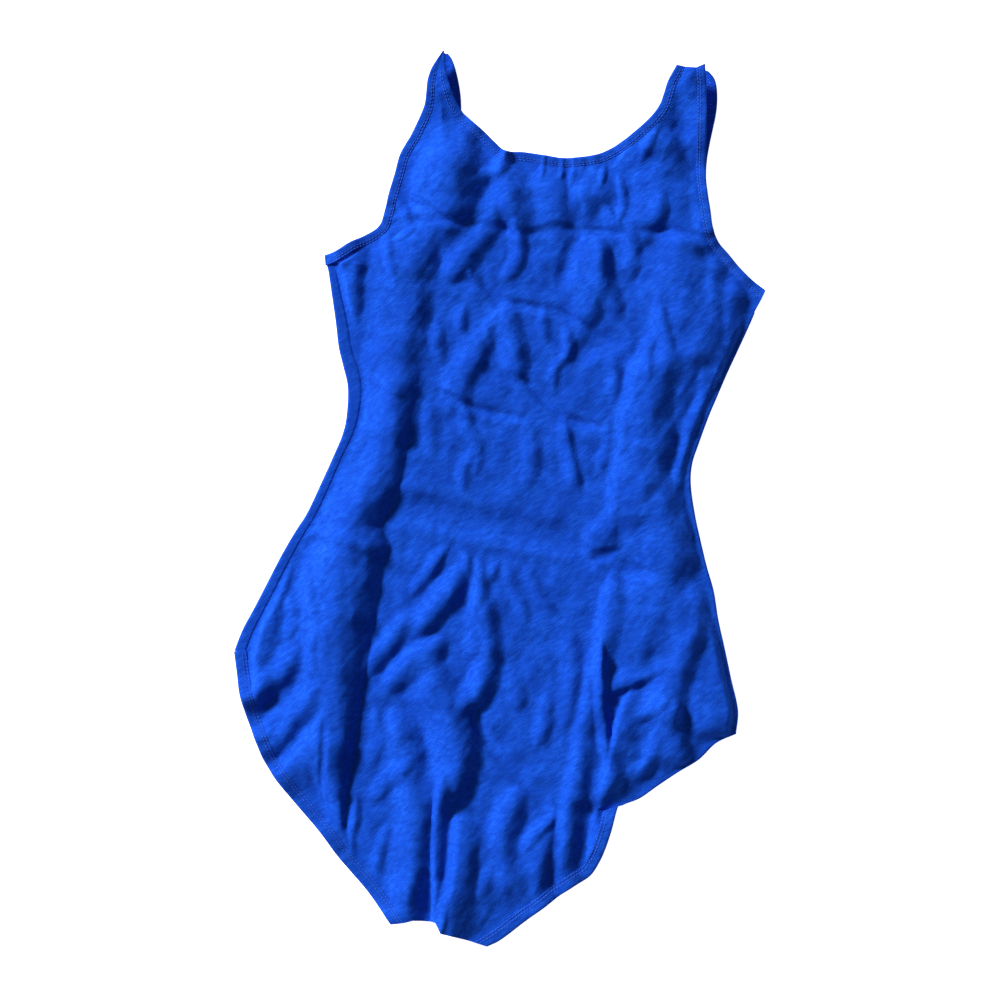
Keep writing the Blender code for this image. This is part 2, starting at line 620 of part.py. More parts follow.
def back_parts(fine, knit_blue, hem_blue, collection):
    """The back panel, flat on the surface, with its left side rolled over onto the top."""
    hips, left_leg, leg_in, right_leg, right_leg_in = leg_edges(BACK_IN, fine)
    left_leg_edge = left_leg + leg_in * (LEG_HEM + GAP)
    right_leg_edge = right_leg + right_leg_in * (LEG_HEM + GAP)
    side = matched(SIDES, 0.2, 17, 28 * fine)
    parts = arm_edges(BACK_ARMS, BACK_LEFT_STRAP, BACK_RIGHT_STRAP, fine)
    arm, left_up, right_up, left_arm, right_arm, left_width, right_width = parts
    left_in, right_in = inward(left_arm, 1), inward(right_arm, -1)
    left_in[0] = np.array((2.2, -6.4)) / NECK_HEM
    right_in[0] = np.array((-2.2, -6.4)) / NECK_HEM
    right_in[-1] = np.array((-6.0, 4.6)) / NECK_HEM
    left_arm_edge = left_arm + left_in * (left_width + GAP)
    right_arm_edge = right_arm + right_in * (right_width + GAP)

    # The deep neck edge, left shoulder first
    tip = matched(BACK_TIP, 0, 2, 3 * fine)[::-1]
    outline = np.vstack([left_up[::-1, 2:4], np.array(BACK_NECK), right_up[:, 2:4]])
    neck_line = spaced(outline[::fine] if fine > 1 else outline, 60 * fine)
    neck_width = np.full((len(neck_line), 1), NECK_HEM)
    neck_width[:4 * fine, 0] = np.linspace(5.4, NECK_HEM, 4 * fine)
    neck_in = inward(neck_line, 1)
    neck_edge = neck_line + neck_in * (neck_width + GAP)
    start, end = 22 * fine, 36 * fine

    # Both edges of the body, crotch first; its right side stops at the rolled seam
    low = 23 * fine
    seam = np.stack([side[:, 0] + TURN, side[:, 1]], 1)
    beyond = np.stack([side[:, 3] - UNDER_WRAP - GAP, side[:, 4]], 1)
    beyond[-1] = right_arm_edge[0] + (-0.4, -0.2)
    under_fold = hips[HEM_ROWS * fine + 1:, 2:4] - (UNDER_WRAP + 1.5 * GAP, 0.0)
    left = np.vstack([left_leg_edge, seam[:low + 1]])
    right = np.vstack([right_leg_edge, under_fold, beyond[:low + 1]])
    part = np.linspace(0, 1, 3 * fine + 1)[:, None]
    top = np.vstack([
        left[-1] + (neck_edge[start] - left[-1]) * part,
        neck_edge[start + 1:end],
        neck_edge[end] + (right[-1] - neck_edge[end]) * part])
    body = panel_grid(left, right, top, 14 * fine, np.array(BACK_CROTCH), False)
    cols = body.shape[1]
    sheet = Sheet()
    main_index = sheet.add(np.dstack([body, np.full(body.shape[:2], CLOTH)]))
    sheet.quads += faces_of(main_index, True)

    # Each side of the scoop, as far as the shoulder
    left_side = np.vstack([seam[low:], left_arm_edge[1:]])
    right_side = np.vstack([beyond[low:], right_arm_edge[1:]])
    clear = neck_edge + neck_in * NECK_CLEAR
    clear[[start, end]] = neck_edge[[start, end]]
    left_neck = level_with(left_side, clear[start::-1])
    right_neck = level_with(right_side, clear[end:])
    grids = []
    spans = ((left_side, left_neck, slice(0, 3 * fine + 1)),
             (right_neck, right_side, slice(cols - 1 - 3 * fine, cols)))
    for near, far, base in spans:
        grid = strap_grid(body[-1, base], near, far)
        index = sheet.add(np.dstack([grid, np.full(grid.shape[:2], CLOTH)])[1:])
        index = [main_index[-1][base]] + index
        sheet.quads += faces_of(index, True)
        grids.append(index)

    # The left side rolls up and over as far as its seam on top
    first = len(left_leg_edge)
    edge = [main_index[first + i][0] for i in range(low + 1)]
    edge += [grids[0][i][0] for i in range(1, len(side) - low)]
    radius = (REST + SOFT - CLOTH) / 2
    over = sheet.add([roll_over(sheet.points[k][:2], radius, side[i, 0] + side[i, 2])
                      for i, k in enumerate(edge)])
    sheet.quads += faces_of([[k] + row for k, row in zip(edge, over)], False)
    make_cloth("back_panel", sheet, knit_blue, collection)

    make_hem("back_leg_hem_left", left_leg, left_leg + leg_in * LEG_HEM,
             np.zeros(len(left_leg)), hem_blue, collection)
    make_hem("back_leg_hem_right", right_leg, right_leg + right_leg_in * LEG_HEM,
             np.zeros(len(right_leg)), hem_blue, collection)
    make_hem("back_armhole_hem_left", left_arm, left_arm + left_in * left_width,
             np.zeros(len(left_arm)), hem_blue, collection)
    make_hem("back_armhole_hem_right", right_arm, right_arm + right_in * right_width,
             np.zeros(len(right_arm)), hem_blue, collection)
    line = np.vstack([tip[:, :2], neck_line])
    width = np.vstack([tip[:, 2:], neck_width])
    across = inward(line, 1)
    make_hem("back_neck_hem", line, line + across * width, np.zeros(len(line)),
             hem_blue, collection)


def level_with(side, neck):
    """Points on a neck edge, one for each row of a side edge, nearly level with it."""
    run = np.concatenate([[0], np.cumsum(np.hypot(*np.diff(side, axis=0).T))])
    part = run / run[-1]
    first, last = neck[0, 1] - side[0, 1], neck[-1, 1] - side[-1, 1]
    want = side[:, 1] + first * (1 - part) + last * part
    x = np.interp(want, neck[:, 1], neck[:, 0])
    found = np.stack([x, want], 1)
    found[0], found[-1] = neck[0], neck[-1]
    return found


def main():
    for obj in list(bpy.data.objects):
        bpy.data.objects.remove(obj, do_unlink=True)
    collection = bpy.data.collections.new("tank_leotard")
    bpy.context.scene.collection.children.link(collection)
    knit_blue = knit("blue_knit_front", (0.006, 0.065, 0.51), 0.85)
    knit_back = knit("blue_knit_back", (0.005, 0.055, 0.45), 0.85)
    hem_blue = knit("blue_elastic_hem", (0.007, 0.072, 0.55), 0.8)
    front_parts(1, MAIN_FOLDS, knit_blue, hem_blue, collection)
    back_parts(1, knit_back, hem_blue, collection)


main()
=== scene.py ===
"""A tank leotard of royal-blue cotton and elastane jersey, laid flat with its front up.

Lengths in the tables are millimetres, read across the laid garment from its middle, with the
neck towards +Y. Every mesh is made in metres.
"""
import math
from collections import namedtuple

import bmesh
import bpy
import numpy as np
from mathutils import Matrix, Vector


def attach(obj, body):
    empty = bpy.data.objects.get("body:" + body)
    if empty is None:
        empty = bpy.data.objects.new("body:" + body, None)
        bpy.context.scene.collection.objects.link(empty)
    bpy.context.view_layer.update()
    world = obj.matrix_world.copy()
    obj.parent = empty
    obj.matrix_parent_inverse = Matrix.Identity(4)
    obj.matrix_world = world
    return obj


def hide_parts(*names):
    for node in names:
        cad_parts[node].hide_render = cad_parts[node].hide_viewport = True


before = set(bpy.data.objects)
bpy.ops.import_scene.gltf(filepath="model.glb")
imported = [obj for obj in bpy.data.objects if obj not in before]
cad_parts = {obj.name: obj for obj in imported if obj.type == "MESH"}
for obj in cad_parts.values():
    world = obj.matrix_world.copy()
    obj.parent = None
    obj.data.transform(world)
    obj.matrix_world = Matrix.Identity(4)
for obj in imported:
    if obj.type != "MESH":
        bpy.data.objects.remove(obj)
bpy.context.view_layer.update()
bpy.ops.object.select_all(action="DESELECT")
scene = bpy.context.scene
root = "root"

# The view. The camera looks straight down on the table. It is turned by eight degrees, because
# the picture shows the garment's neck that far to the right. A pixel is 0.75 mm on the cloth.
PIXEL = 0.00075
PICTURE_WIDTH = 1000
TURNED = math.radians(8.0)
SENSOR = 36.0
CAMERA_HEIGHT = 2.4
AIM = Vector((-0.00905, -0.00567, 0.005))
camera_data = bpy.data.cameras.new("camera")
camera_data.sensor_width = SENSOR
camera_data.lens = SENSOR * CAMERA_HEIGHT / (PICTURE_WIDTH * PIXEL)
camera = bpy.data.objects.new("camera", camera_data)
scene.collection.objects.link(camera)
camera.location = (AIM.x, AIM.y, CAMERA_HEIGHT + AIM.z)
camera.rotation_euler = (0.0, 0.0, TURNED)
scene.camera = camera

# The light. A broad window light comes low from the picture's upper left and draws every
# fold. The pale room fills its shadows a little, and looks nearly white behind the table.
WINDOW_FROM = math.radians(150)
WINDOW_RISE = math.radians(25)
WINDOW_BREADTH = math.radians(11)
window = bpy.data.lights.new("window_light", "SUN")
window.energy = 6.0
window.angle = WINDOW_BREADTH
window.color = (1.0, 0.985, 0.965)
window_object = bpy.data.objects.new("window_light", window)
scene.collection.objects.link(window_object)
towards = Vector((math.cos(WINDOW_FROM) * math.cos(WINDOW_RISE),
                  math.sin(WINDOW_FROM) * math.cos(WINDOW_RISE), math.sin(WINDOW_RISE)))
window_object.rotation_euler = towards.to_track_quat("Z", "Y").to_euler()
room = bpy.data.worlds.new("pale_room")
scene.world = room
room.use_nodes = True
room_nodes = room.node_tree.nodes
room_nodes["Background"].inputs["Color"].default_value = (0.93, 0.96, 1.0, 1.0)
room_nodes["Background"].inputs["Strength"].default_value = 0.13
seen = room_nodes.new("ShaderNodeBackground")
seen.inputs["Color"].default_value = (1.0, 1.0, 1.0, 1.0)
seen.inputs["Strength"].default_value = 0.95
ray = room_nodes.new("ShaderNodeLightPath")
both = room_nodes.new("ShaderNodeMixShader")
link = room.node_tree.links.new
link(ray.outputs["Is Camera Ray"], both.inputs["Fac"])
link(room_nodes["Background"].outputs[0], both.inputs[1])
link(seen.outputs[0], both.inputs[2])
link(both.outputs[0], room_nodes["World Output"].inputs["Surface"])
scene.view_settings.view_transform = "Standard"

# The front panel. One piece of knit from shoulder to crotch, cut with a scoop neck and two
# armholes. It lies loosely on the back panel, pressed into one big roll and many creases.
MM = 0.001
CLOTH = 1.2  # wall of a panel
HEM = 1.6  # height of a hem's band
LEG_HEM = 9.5  # widths of the hems
NECK_HEM = 7.0
APART = 0.3  # between pieces that lie side by side or on each other
REST = HEM + APART  # how high the front's underside lies at its lowest
SOFT = 0.3  # rounds the ground between folds, so that none breaks off sharply
TUCK = -0.1  # a panel ends this far short of its hem
UNDER_WRAP = 9.0  # how far the front is rolled under at the right
TURN = 1.7  # how far in from the outline a rolled side begins to turn
LOFT = 3.6  # how high the loose cloth stands above its edges
LOFT_REACH = 30
FINE = 6  # grid steps of the outer layer from one table row to the next
COARSE = 3  # outer steps for one step of the inner layer
LEFT_COLS, NECK_COLS, RIGHT_COLS = 5, 24, 8  # steps across the straps and the neck
SIDE_ROWS = 28  # steps up a side, from its leg hem to its armhole

Section = namedtuple("Section", "left_x left_y right_x right_y")
HIPS = [Section(*row) for row in (
    (-46, -332, 28, -339),
    (-54, -323.5, 37, -333),
    (-67, -310, 50, -320),
    (-80, -298.5, 62, -308),
    (-93, -287, 74, -296),
    (-106, -273.5, 86, -285),
    (-120, -261, 97, -276),
    (-134, -248.5, 102.5, -265),
    (-147, -236, 106, -252),
    (-157, -224.5, 108.3, -239),
    (-163, -214.5, 109.5, -228),
    (-169, -204, 114, -220),
    (-175, -193, 126, -213),
    (-179.5, -183, 139, -201),
    (-183, -174.5, 152, -189.5),
    (-185.5, -166, 166, -178),
    (-188, -157, 177, -164),
    (-191, -146, 191, -155),
)]
HEM_ROWS = 10
Side = namedtuple("Side", "left_x left_y seam right_x right_y")
SIDES = [Side(*row) for row in (
    (-191, -146, 8.2, 191, -155),
    (-187, -129, 8.5, 190, -137),
    (-180, -110, 8, 181.5, -114),
    (-173, -90, 8, 173.5, -92),
    (-166, -70, 8, 166, -72),
    (-158.5, -51.5, 7.5, 159.5, -51),
    (-151, -35, 7, 152, -34),
    (-144.5, -14, 7, 144.5, -15),
    (-138, 8, 6.5, 137.5, 4),
    (-133, 27, 7.5, 131.5, 25),
    (-132, 42, 9, 130.2, 41),
    (-134, 62, 10.5, 133, 57),
    (-139.5, 77, 11.5, 137.5, 78),
    (-145, 91, 10, 141.5, 93),
    (-150, 110, 9, 147, 113),
    (-155.5, 129, 7.5, 152.5, 131),
    (-160.5, 146, 6, 159, 153),
    (-162.7, 151, 5.2, 163.4, 170.3),
)]
FRONT_ARMS = [Section(*row) for row in (
    (-165, 158, 166.5, 178),
    (-157, 162, 155, 184.5),
    (-147, 170.5, 145, 192),
    (-137, 177, 135, 201),
    (-127.5, 185.5, 126, 209),
    (-125, 198, 120.3, 219),
    (-123.7, 212, 117, 230.5),
    (-121.5, 226, 113.5, 242),
    (-119.5, 241, 111, 251.5),
    (-113.5, 256, 109, 262),
    (-109, 270, 108, 271),
)]
Strap = namedtuple("Strap", "arm_x arm_y neck_x neck_y hem")
FRONT_LEFT_STRAP = [Strap(*row) for row in (
    (-109, 270, -76.5, 277.8, 7),
    (-106.5, 280, -82, 284, 6.8),
    (-106.4, 289, -86.5, 291, 6.4),
    (-106.8, 297, -90, 298, 5.9),
    (-106.3, 302, -92.3, 303, 5.4),
    (-104.9, 308, -93.9, 309, 4.5),
    (-102.2, 314, -95.6, 315, 3.0),
    (-99.6, 319, -96.9, 320.2, 1.1),
    (-98.2, 321.6, -97.2, 321.9, 0.4),
)]
FRONT_RIGHT_STRAP = [Strap(*row) for row in (
    (108, 271, 47, 275.8, 7),
    (106.5, 282, 56, 285.7, 7),
    (105, 293, 63, 294.7, 7),
    (103.8, 304, 68, 304, 7),
    (102.3, 314, 70, 313, 7),
    (100.6, 324, 71.8, 323, 7),
    (97.3, 338.6, 76.5, 335, 7),
)]
Edge = namedtuple("Edge", "x y")
FRONT_NECK = [Edge(*row) for row in (
    (-76.5, 277.8), (-68, 272.2), (-59, 266.4), (-50, 259.6),
    (-41, 254.4), (-28, 255.5), (-12, 255.4), (2, 255.2),
    (16, 258), (28, 262), (38, 268.3), (47, 275.8),
)]
FRONT_CROTCH = [Edge(*row) for row in (
    (-35.4, -329.1), (-30, -327), (-13, -326), (-8, -333.3),
    (8, -335.6), (17.2, -337.1),
)]
Roll = namedtuple("Roll", "y crest valley height")
ROLL = [Roll(*row) for row in (
    (-280, -89, -85, 1.5), (-262, -95, -90, 3.5), (-240, -100, -92, 6),
    (-222, -104, -91, 8), (-200, -106, -91, 9), (-178, -108, -91, 9.5),
    (-160, -113, -91, 10.5), (-142, -117, -90, 11.5), (-118, -119, -90, 12),
    (-105, -118, -89, 12), (-85, -120, -88, 11), (-65, -118, -88, 10.5),
    (-52, -113, -85, 9.5), (-38, -116, -94, 9), (-20, -112, -88, 8),
    (0, -103, -84, 5.4), (20, -97, -83, 3.8), (40, -96, -84, 2.8),
    (62, -97, -82, 2.0), (84, -97, -81, 0),
)]
ROLL_LIT = 34.0
ROLL_LIT_LOW = 13.0
# Where four of the grid's columns run: along the big roll and along the pleat at the right
Guide = namedtuple("Guide", "y crest valley press lip")
GUIDES = [Guide(*row) for row in (
    (-330, -87, -84, 62, 92), (-268, -90, -87, 67, 94), (-240, -96, -91, 67, 96),
    (-200, -101, -91, 67, 100), (-187, -102, -90, 67, 97), (-155, -108, -88, 70, 88),
    (-130, -114, -88, 71, 83), (-100, -112, -86, 75, 80), (-60, -108, -86, 74, 80),
    (-38, -111, -91, 73, 82), (0, -97, -83, 72, 80), (60, -92, -81, 71, 79),
    (110, -95, -79, 68, 80), (170, -92, -76, 62, 80),
)]
GUIDE_COLS = [0, 6, 10, 25, 28, LEFT_COLS + NECK_COLS + RIGHT_COLS]
LEAST_SHARE = 0.45
# Where the right leg's hem holds the cloth down, and how far round
PRESSED = Edge(108, -221)
PRESSED_REACH = 22.0
Fold = namedtuple("Fold", "height lit shade path")
MAIN_FOLDS = [Fold(*row) for row in (
    # Left strap and chest
    (11.0, 32, 26, ((-72, 176), (-77, 198), (-80, 214), (-79, 232), (-77, 250), (-75, 268))),
    (5.2, 10, 20, ((-136, 168), (-142, 154), (-142, 136), (-136, 114))),
    (6.0, 28, 19, ((-97, 20), (-97, 52), (-98, 76), (-99, 92), (-96, 108), (-97, 122),
                   (-98, 138), (-100, 152), (-97, 168), (-90, 184))),
    (4.2, 13, 12, ((-70, 154), (-60, 172), (-50, 190), (-44, 206), (-44, 222))),
    (3.4, 7, 9, ((-58, 231), (-49, 238), (-39, 250))),
    (6.2, 10, 17, ((-22, 194), (-30, 212), (-35, 224), (-41, 236), (-43, 250))),
    (4.2, 20, 13, ((8, 198), (1, 219), (-3, 232), (-6, 246))),
    (3.0, 8, 8, ((16, 220), (18, 236), (16, 252))),
    (3.8, 9, 16, ((25, 220), (27, 238), (26, 252))),
    (4.4, 24, 11, ((66, 196), (72, 215), (76, 226), (77, 238))),
    (5.6, 32, 20, ((120, 200), (107, 226), (94, 246), (82, 264), (74, 286))),
    (6.0, 20, 4, ((-80, 280), (-85, 290), (-90, 301), (-94, 311), (-98, 324), (-100, 336))),
    # Right strap
    (8.0, 6, 24, ((44, 258), (56, 276), (65, 292), (71, 306), (75, 320), (78, 336), (80, 356))),
    (8.5, 20, 5, ((107, 266), (103, 296), (100, 318), (97, 334), (95, 352))),
    (2.2, 8, 6, ((119, 204), (113, 222), (108, 240), (106, 260))),
    # Right chest
    (6.0, 34, 16, ((126, 108), (115, 138), (108, 158), (104, 176), (106, 192), (113, 206))),
    (4.2, 14, 16, ((143, 100), (138, 124), (131, 146), (127, 166), (125, 186), (123, 200))),
    (3.2, 9, 10, ((151, 126), (147, 148), (145, 166), (143, 184))),
    (4.4, 20, 12, ((36, 134), (39, 158), (38, 180), (33, 200))),
    (3.0, 9, 9, ((60, 144), (49, 162), (43, 176), (40, 192))),
    (2.0, 8, 7, ((66, 176), (64, 190), (61, 206))),
    (4.4, 12, 12, ((-7, 84), (-14, 106), (-20, 122), (-24, 140))),
    (3.8, 14, 11, ((-55, 56), (-49, 80), (-43, 98), (-39, 118))),
    # Waist and belly
    (4.6, 20, 14, ((91, 12), (97, 30), (102, 46), (103, 58), (97, 68), (95, 80), (97, 96),
                   (99, 110), (93, 124))),
    (2.2, 7, 9, ((122, 26), (124, 48), (125, 64), (129, 80), (133, 96), (129, 112))),
    (4.2, 10, 24, ((80, -14), (79, 4), (78, 24), (78, 44), (78, 64), (80, 86), (81, 116))),
    (6.2, 36, 18, ((134, -46), (129, -29), (121, -10), (113, 8), (106, 30))),
    (-3.6, 15, 15, ((-94, -22), (-50, -23), (0, -25), (40, -28), (76, -33))),
    (5.2, 15, 16, ((72, -44), (69, -28), (71, -10))),
    (-2.2, 5, 10, ((62, -41), (80, -40), (96, -42), (112, -44))),
    (-3.2, 6, 7, ((64, -35), (73, -36), (82, -31))),
    (2.4, 7, 6, ((-156, -49), (-138, -50), (-118, -52), (-96, -57))),
    # Right hip and the mouth of its pleat
    (6.4, 38, 24, ((100, -112), (111, -90), (117, -70), (121, -46))),
    (4.4, 7, 5, ((98, -188), (93, -168), (89, -150), (85, -128), (81, -104))),
    (4.4, 4, 22, ((101, -190), (102, -166), (104, -147), (108, -134))),
    (3.8, 14, 5, ((88, -138), (101, -131), (113, -124), (127, -115))),
    (5.0, 8, 13, ((100, -270), (99, -244), (101, -218), (101, -198), (98, -185))),
    (4.2, 9, 12, ((80, -294), (76, -264), (75, -236), (76, -206), (77, -180), (78, -150),
                  (81, -112), (83, -80), (83, -52))),
    (6.0, 22, 13, ((140, -160), (139, -136), (141, -114), (144, -92), (148, -70), (148, -54))),
    (4.6, 38, 14, ((186, -160), (181, -120), (173, -94), (166, -72))),
    (4.0, 26, 8, ((158, -186), (149, -167), (143, -150), (141, -136))),
    # Left hip
    (5.0, 6, 13, ((-167, -188), (-172, -164), (-173, -134), (-166, -104))),
    (5.2, 12, 11, ((-173, -182), (-161, -165), (-151, -153), (-146, -134))),
    (5.2, 13, 12, ((-156, -220), (-144, -197), (-135, -181), (-127, -164))),
    (6.0, 12, 26, ((-140, -240), (-133, -222), (-124, -206), (-119, -190))),
    # Crotch
    (5.0, 13, 11, ((-60, -116), (-47, -96), (-37, -79), (-31, -62))),
    (3.8, 10, 9, ((-90, -148), (-80, -130), (-71, -114), (-64, -100))),
    (5.4, 11, 13, ((-73, -158), (-61, -139), (-49, -127), (-35, -114))),
    (8.4, 22, 18, ((-21, -246), (-15, -216), (-14, -198), (-19, -180), (-28, -163),
                   (-39, -148), (-43, -130))),
    (5.0, 13, 12, ((-16, -166), (-5, -149), (-2, -132), (-3, -114), (-8, -97), (-13, -76))),
    (5.0, 14, 13, ((48, -298), (36, -284), (30, -270), (29, -254), (31, -238), (35, -220))),
    (4.6, 17, 11, ((60, -308), (59, -282), (58, -262), (61, -242))),
    (7.5, 9, 20, ((-8, -352), (-4, -312), (-2, -286), (-3, -262), (-8, -242))),
    (4.4, 4, 9, ((-11, -346), (-15, -308), (-18, -290), (-21, -265), (-23, -240), (-24, -218))),
    (6.6, 18, 15, ((-38, -350), (-36, -304), (-36, -282), (-37, -260), (-40, -238),
                   (-47, -214), (-57, -194), (-64, -176))),
)]
SMALL_CREASES = [Fold(*row) for row in (
    # Left strap and armhole
    (1.6, 9, 7, ((-89, 258), (-96, 276), (-101, 294))),
    (1.7, 8, 7, ((-104, 214), (-100, 228), (-96, 242))),
    (2.5, 4, 6, ((-112, 150), (-119, 166), (-122, 184))),
    (1.4, 3, 4, ((-118, 183), (-104, 194))),
    (1.4, 3, 4, ((-115, 176), (-101, 187))),
    (1.4, 4, 4, ((-119, 190), (-108, 196))),
    (-2.8, 4, 6, ((-117, 216), (-107, 207), (-95, 204), (-84, 199), (-74, 195))),
    (-1.7, 4, 6, ((-110, 192), (-92, 195), (-76, 196), (-58, 197))),
    (-1.2, 4, 6, ((-52, 197), (-34, 197), (-20, 195), (-8, 198), (4, 203), (22, 203))),
    (-1.9, 4, 6, ((30, 204), (46, 205), (62, 207), (76, 210), (90, 212), (106, 211), (120, 209))),
    (3.0, 4, 5, ((-103, 190), (-112, 201), (-119, 210))),
    (2.7, 6, 8, ((-158, 150), (-150, 160), (-140, 170))),
    # Neck gathers
    (1.4, 3, 3, ((-12, 238), (-12, 250))),
    (1.4, 3, 3, ((3, 240), (2, 251))),
    (1.9, 3, 4, ((10, 236), (11, 251))),
    (1.7, 4, 4, ((33, 240), (34, 254))),
    (3.0, 5, 8, ((40, 222), (46, 214), (54, 207), (64, 206))),
    (2.0, 4, 5, ((50, 216), (51, 230), (46, 244))),
    (1.9, 5, 5, ((60, 262), (63, 272), (68, 284))),
    # Chest
    (-2.2, 8, 8, ((14, 160), (17, 178), (21, 198))),
    (2.7, 9, 6, ((102, 124), (95, 138), (88, 156))),
    (-2.0, 12, 9, ((34, 104), (46, 118), (66, 125))),
    (-2.4, 5, 6, ((-52, 162), (-38, 149), (-26, 142), (0, 141), (14, 140), (34, 133), (56, 122))),
    (2.5, 8, 7, ((-28, 160), (-21, 172), (-21, 186), (-27, 198))),
    (2.2, 7, 7, ((-67, 91), (-72, 104), (-74, 117))),
    (2.2, 7, 6, ((-53, 113), (-57, 124), (-55, 135))),
    (2.0, 6, 6, ((-31, 108), (-35, 120), (-33, 132))),
    (2.0, 7, 7, ((-47, 154), (-53, 164), (-58, 166))),
    (2.0, 6, 6, ((8, 118), (4, 130), (4, 140))),
    (2.0, 6, 6, ((24, 104), (26, 116), (22, 128))),
    (1.7, 6, 5, ((19, 84), (18, 96), (22, 106))),
    (1.9, 8, 7, ((64, 84), (63, 100), (58, 112))),
    (2.0, 7, 6, ((87, 106), (84, 120), (88, 132))),
    (-2.2, 5, 5, ((-2, 86), (12, 74), (30, 62), (56, 59))),
    (-2.2, 5, 5, ((-64, 68), (-44, 61), (-22, 58), (-2, 57))),
    (1.9, 5, 6, ((-112, 76), (-103, 67), (-92, 62))),
    (-1.4, 6, 6, ((-36, 92), (-18, 86), (-2, 84))),
    # Belly
    (2.5, 9, 5, ((48, 12), (41, 28), (36, 42), (31, 58))),
    (1.9, 8, 8, ((10, 8), (10, 30), (4, 52))),
    (1.9, 8, 6, ((-30, 16), (-32, 32), (-40, 46), (-46, 62))),
    (1.6, 9, 9, ((-66, 24), (-68, 38), (-72, 52))),
    (1.6, 7, 6, ((-38, 2), (-40, 14), (-36, 26))),
    (1.4, 6, 6, ((62, 30), (66, 46), (64, 60))),
    # Right hip
    (2.5, 10, 8, ((62, -166), (64, -142), (62, -118), (58, -98))),
    (2.5, 12, 6, ((117, -154), (127, -143), (137, -132))),
    (2.0, 8, 7, ((124, -196), (130, -182), (131, -166))),
    # Left hip
    (-1.5, 3, 4, ((-112, -234), (-114, -210), (-116, -188))),
    (3.0, 6, 7, ((-163, -104), (-162, -82), (-164, -62))),
    (2.0, 6, 6, ((-133, -114), (-141, -97), (-145, -76))),
    (2.0, 6, 5, ((-160, -212), (-158, -198), (-152, -186))),
    (2.0, 6, 6, ((-152, -130), (-150, -116), (-154, -102))),
    (2.0, 5, 5, ((-130, -150), (-134, -136), (-132, -122))),
    # Crotch
    (2.7, 8, 6, ((-63, -82), (-54, -67), (-46, -50))),
    (2.5, 6, 7, ((-17, -86), (-15, -70), (-18, -56))),
    (2.0, 5, 5, ((-24, -64), (-29, -50))),
    (2.0, 5, 5, ((-8, -66), (-5, -52))),
    (1.7, 6, 6, ((22, -90), (12, -74), (4, -58))),
    (1.6, 6, 6, ((42, -84), (30, -72), (18, -54))),
    (-2.0, 6, 6, ((-6, -168), (10, -190), (26, -203), (42, -216), (60, -232))),
    (2.2, 7, 6, ((-17, -128), (-14, -118), (-18, -106))),
    (2.2, 10, 9, ((24, -158), (24, -146), (16, -134))),
    (2.0, 8, 8, ((44, -182), (48, -166), (46, -150))),
    (2.5, 9, 8, ((-72, -240), (-62, -225), (-50, -210))),
    (2.2, 9, 7, ((-77, -214), (-74, -196), (-78, -180))),
    (2.0, 5, 5, ((-82, -284), (-85, -272), (-83, -258), (-84, -246))),
    (2.0, 6, 6, ((-62, -294), (-62, -278), (-58, -262))),
    (2.0, 6, 7, ((18, -300), (20, -284), (16, -268))),
    (2.0, 7, 5, ((46, -262), (52, -250), (62, -238))),
)]


def curve(points, steps=8):
    """A smooth line through the points, with some steps between each two."""
    pts = np.array(points, float)
    ends = np.vstack([2 * pts[0] - pts[1], pts, 2 * pts[-1] - pts[-2]])
    line = []
    for i in range(len(pts) - 1):
        a, b, c, d = ends[i:i + 4]
        for k in range(steps):
            t = k / steps
            line.append(0.5 * (2 * b + (c - a) * t + (2 * a - 5 * b + 4 * c - d) * t * t
                               + (3 * b - a - 3 * c + d) * t ** 3))
    line.append(pts[-1])
    return np.array(line)


def spaced(points, count):
    """Evenly spaced points along a smooth line, one more than count."""
    line = curve(points)
    run = np.concatenate([[0], np.cumsum(np.hypot(*np.diff(line[:, :2], axis=0).T))])
    want = np.linspace(0, run[-1], count + 1)
    return np.stack([np.interp(want, run, line[:, k]) for k in range(line.shape[1])], 1)


def matched(table, rows):
    """The smooth sections of a table at the given row numbers, which may be fractions."""
    line = curve(table, 16)
    index = np.arange(len(line)) / 16
    return np.stack([np.interp(rows, index, line[:, k]) for k in range(line.shape[1])], 1)


def inward(points, hand):
    """Unit vectors across a line, to its right for hand 1 and to its left for hand -1."""
    run = np.gradient(points[:, :2], axis=0)
    run /= np.hypot(run[:, 0], run[:, 1])[:, None]
    return hand * np.stack([run[:, 1], -run[:, 0]], 1)


def ease(t):
    """A soft step from 0 to 1."""
    t = np.clip(t, 0, 1)
    return t * t * (3 - 2 * t)


def straightened(points, first, last):
    """The same line, with its points from first to last spread along a straight stretch."""
    part = np.linspace(0, 1, last - first + 1)[:, None]
    points = points.copy()
    points[first:last + 1] = points[first] + (points[last] - points[first]) * part
    return points


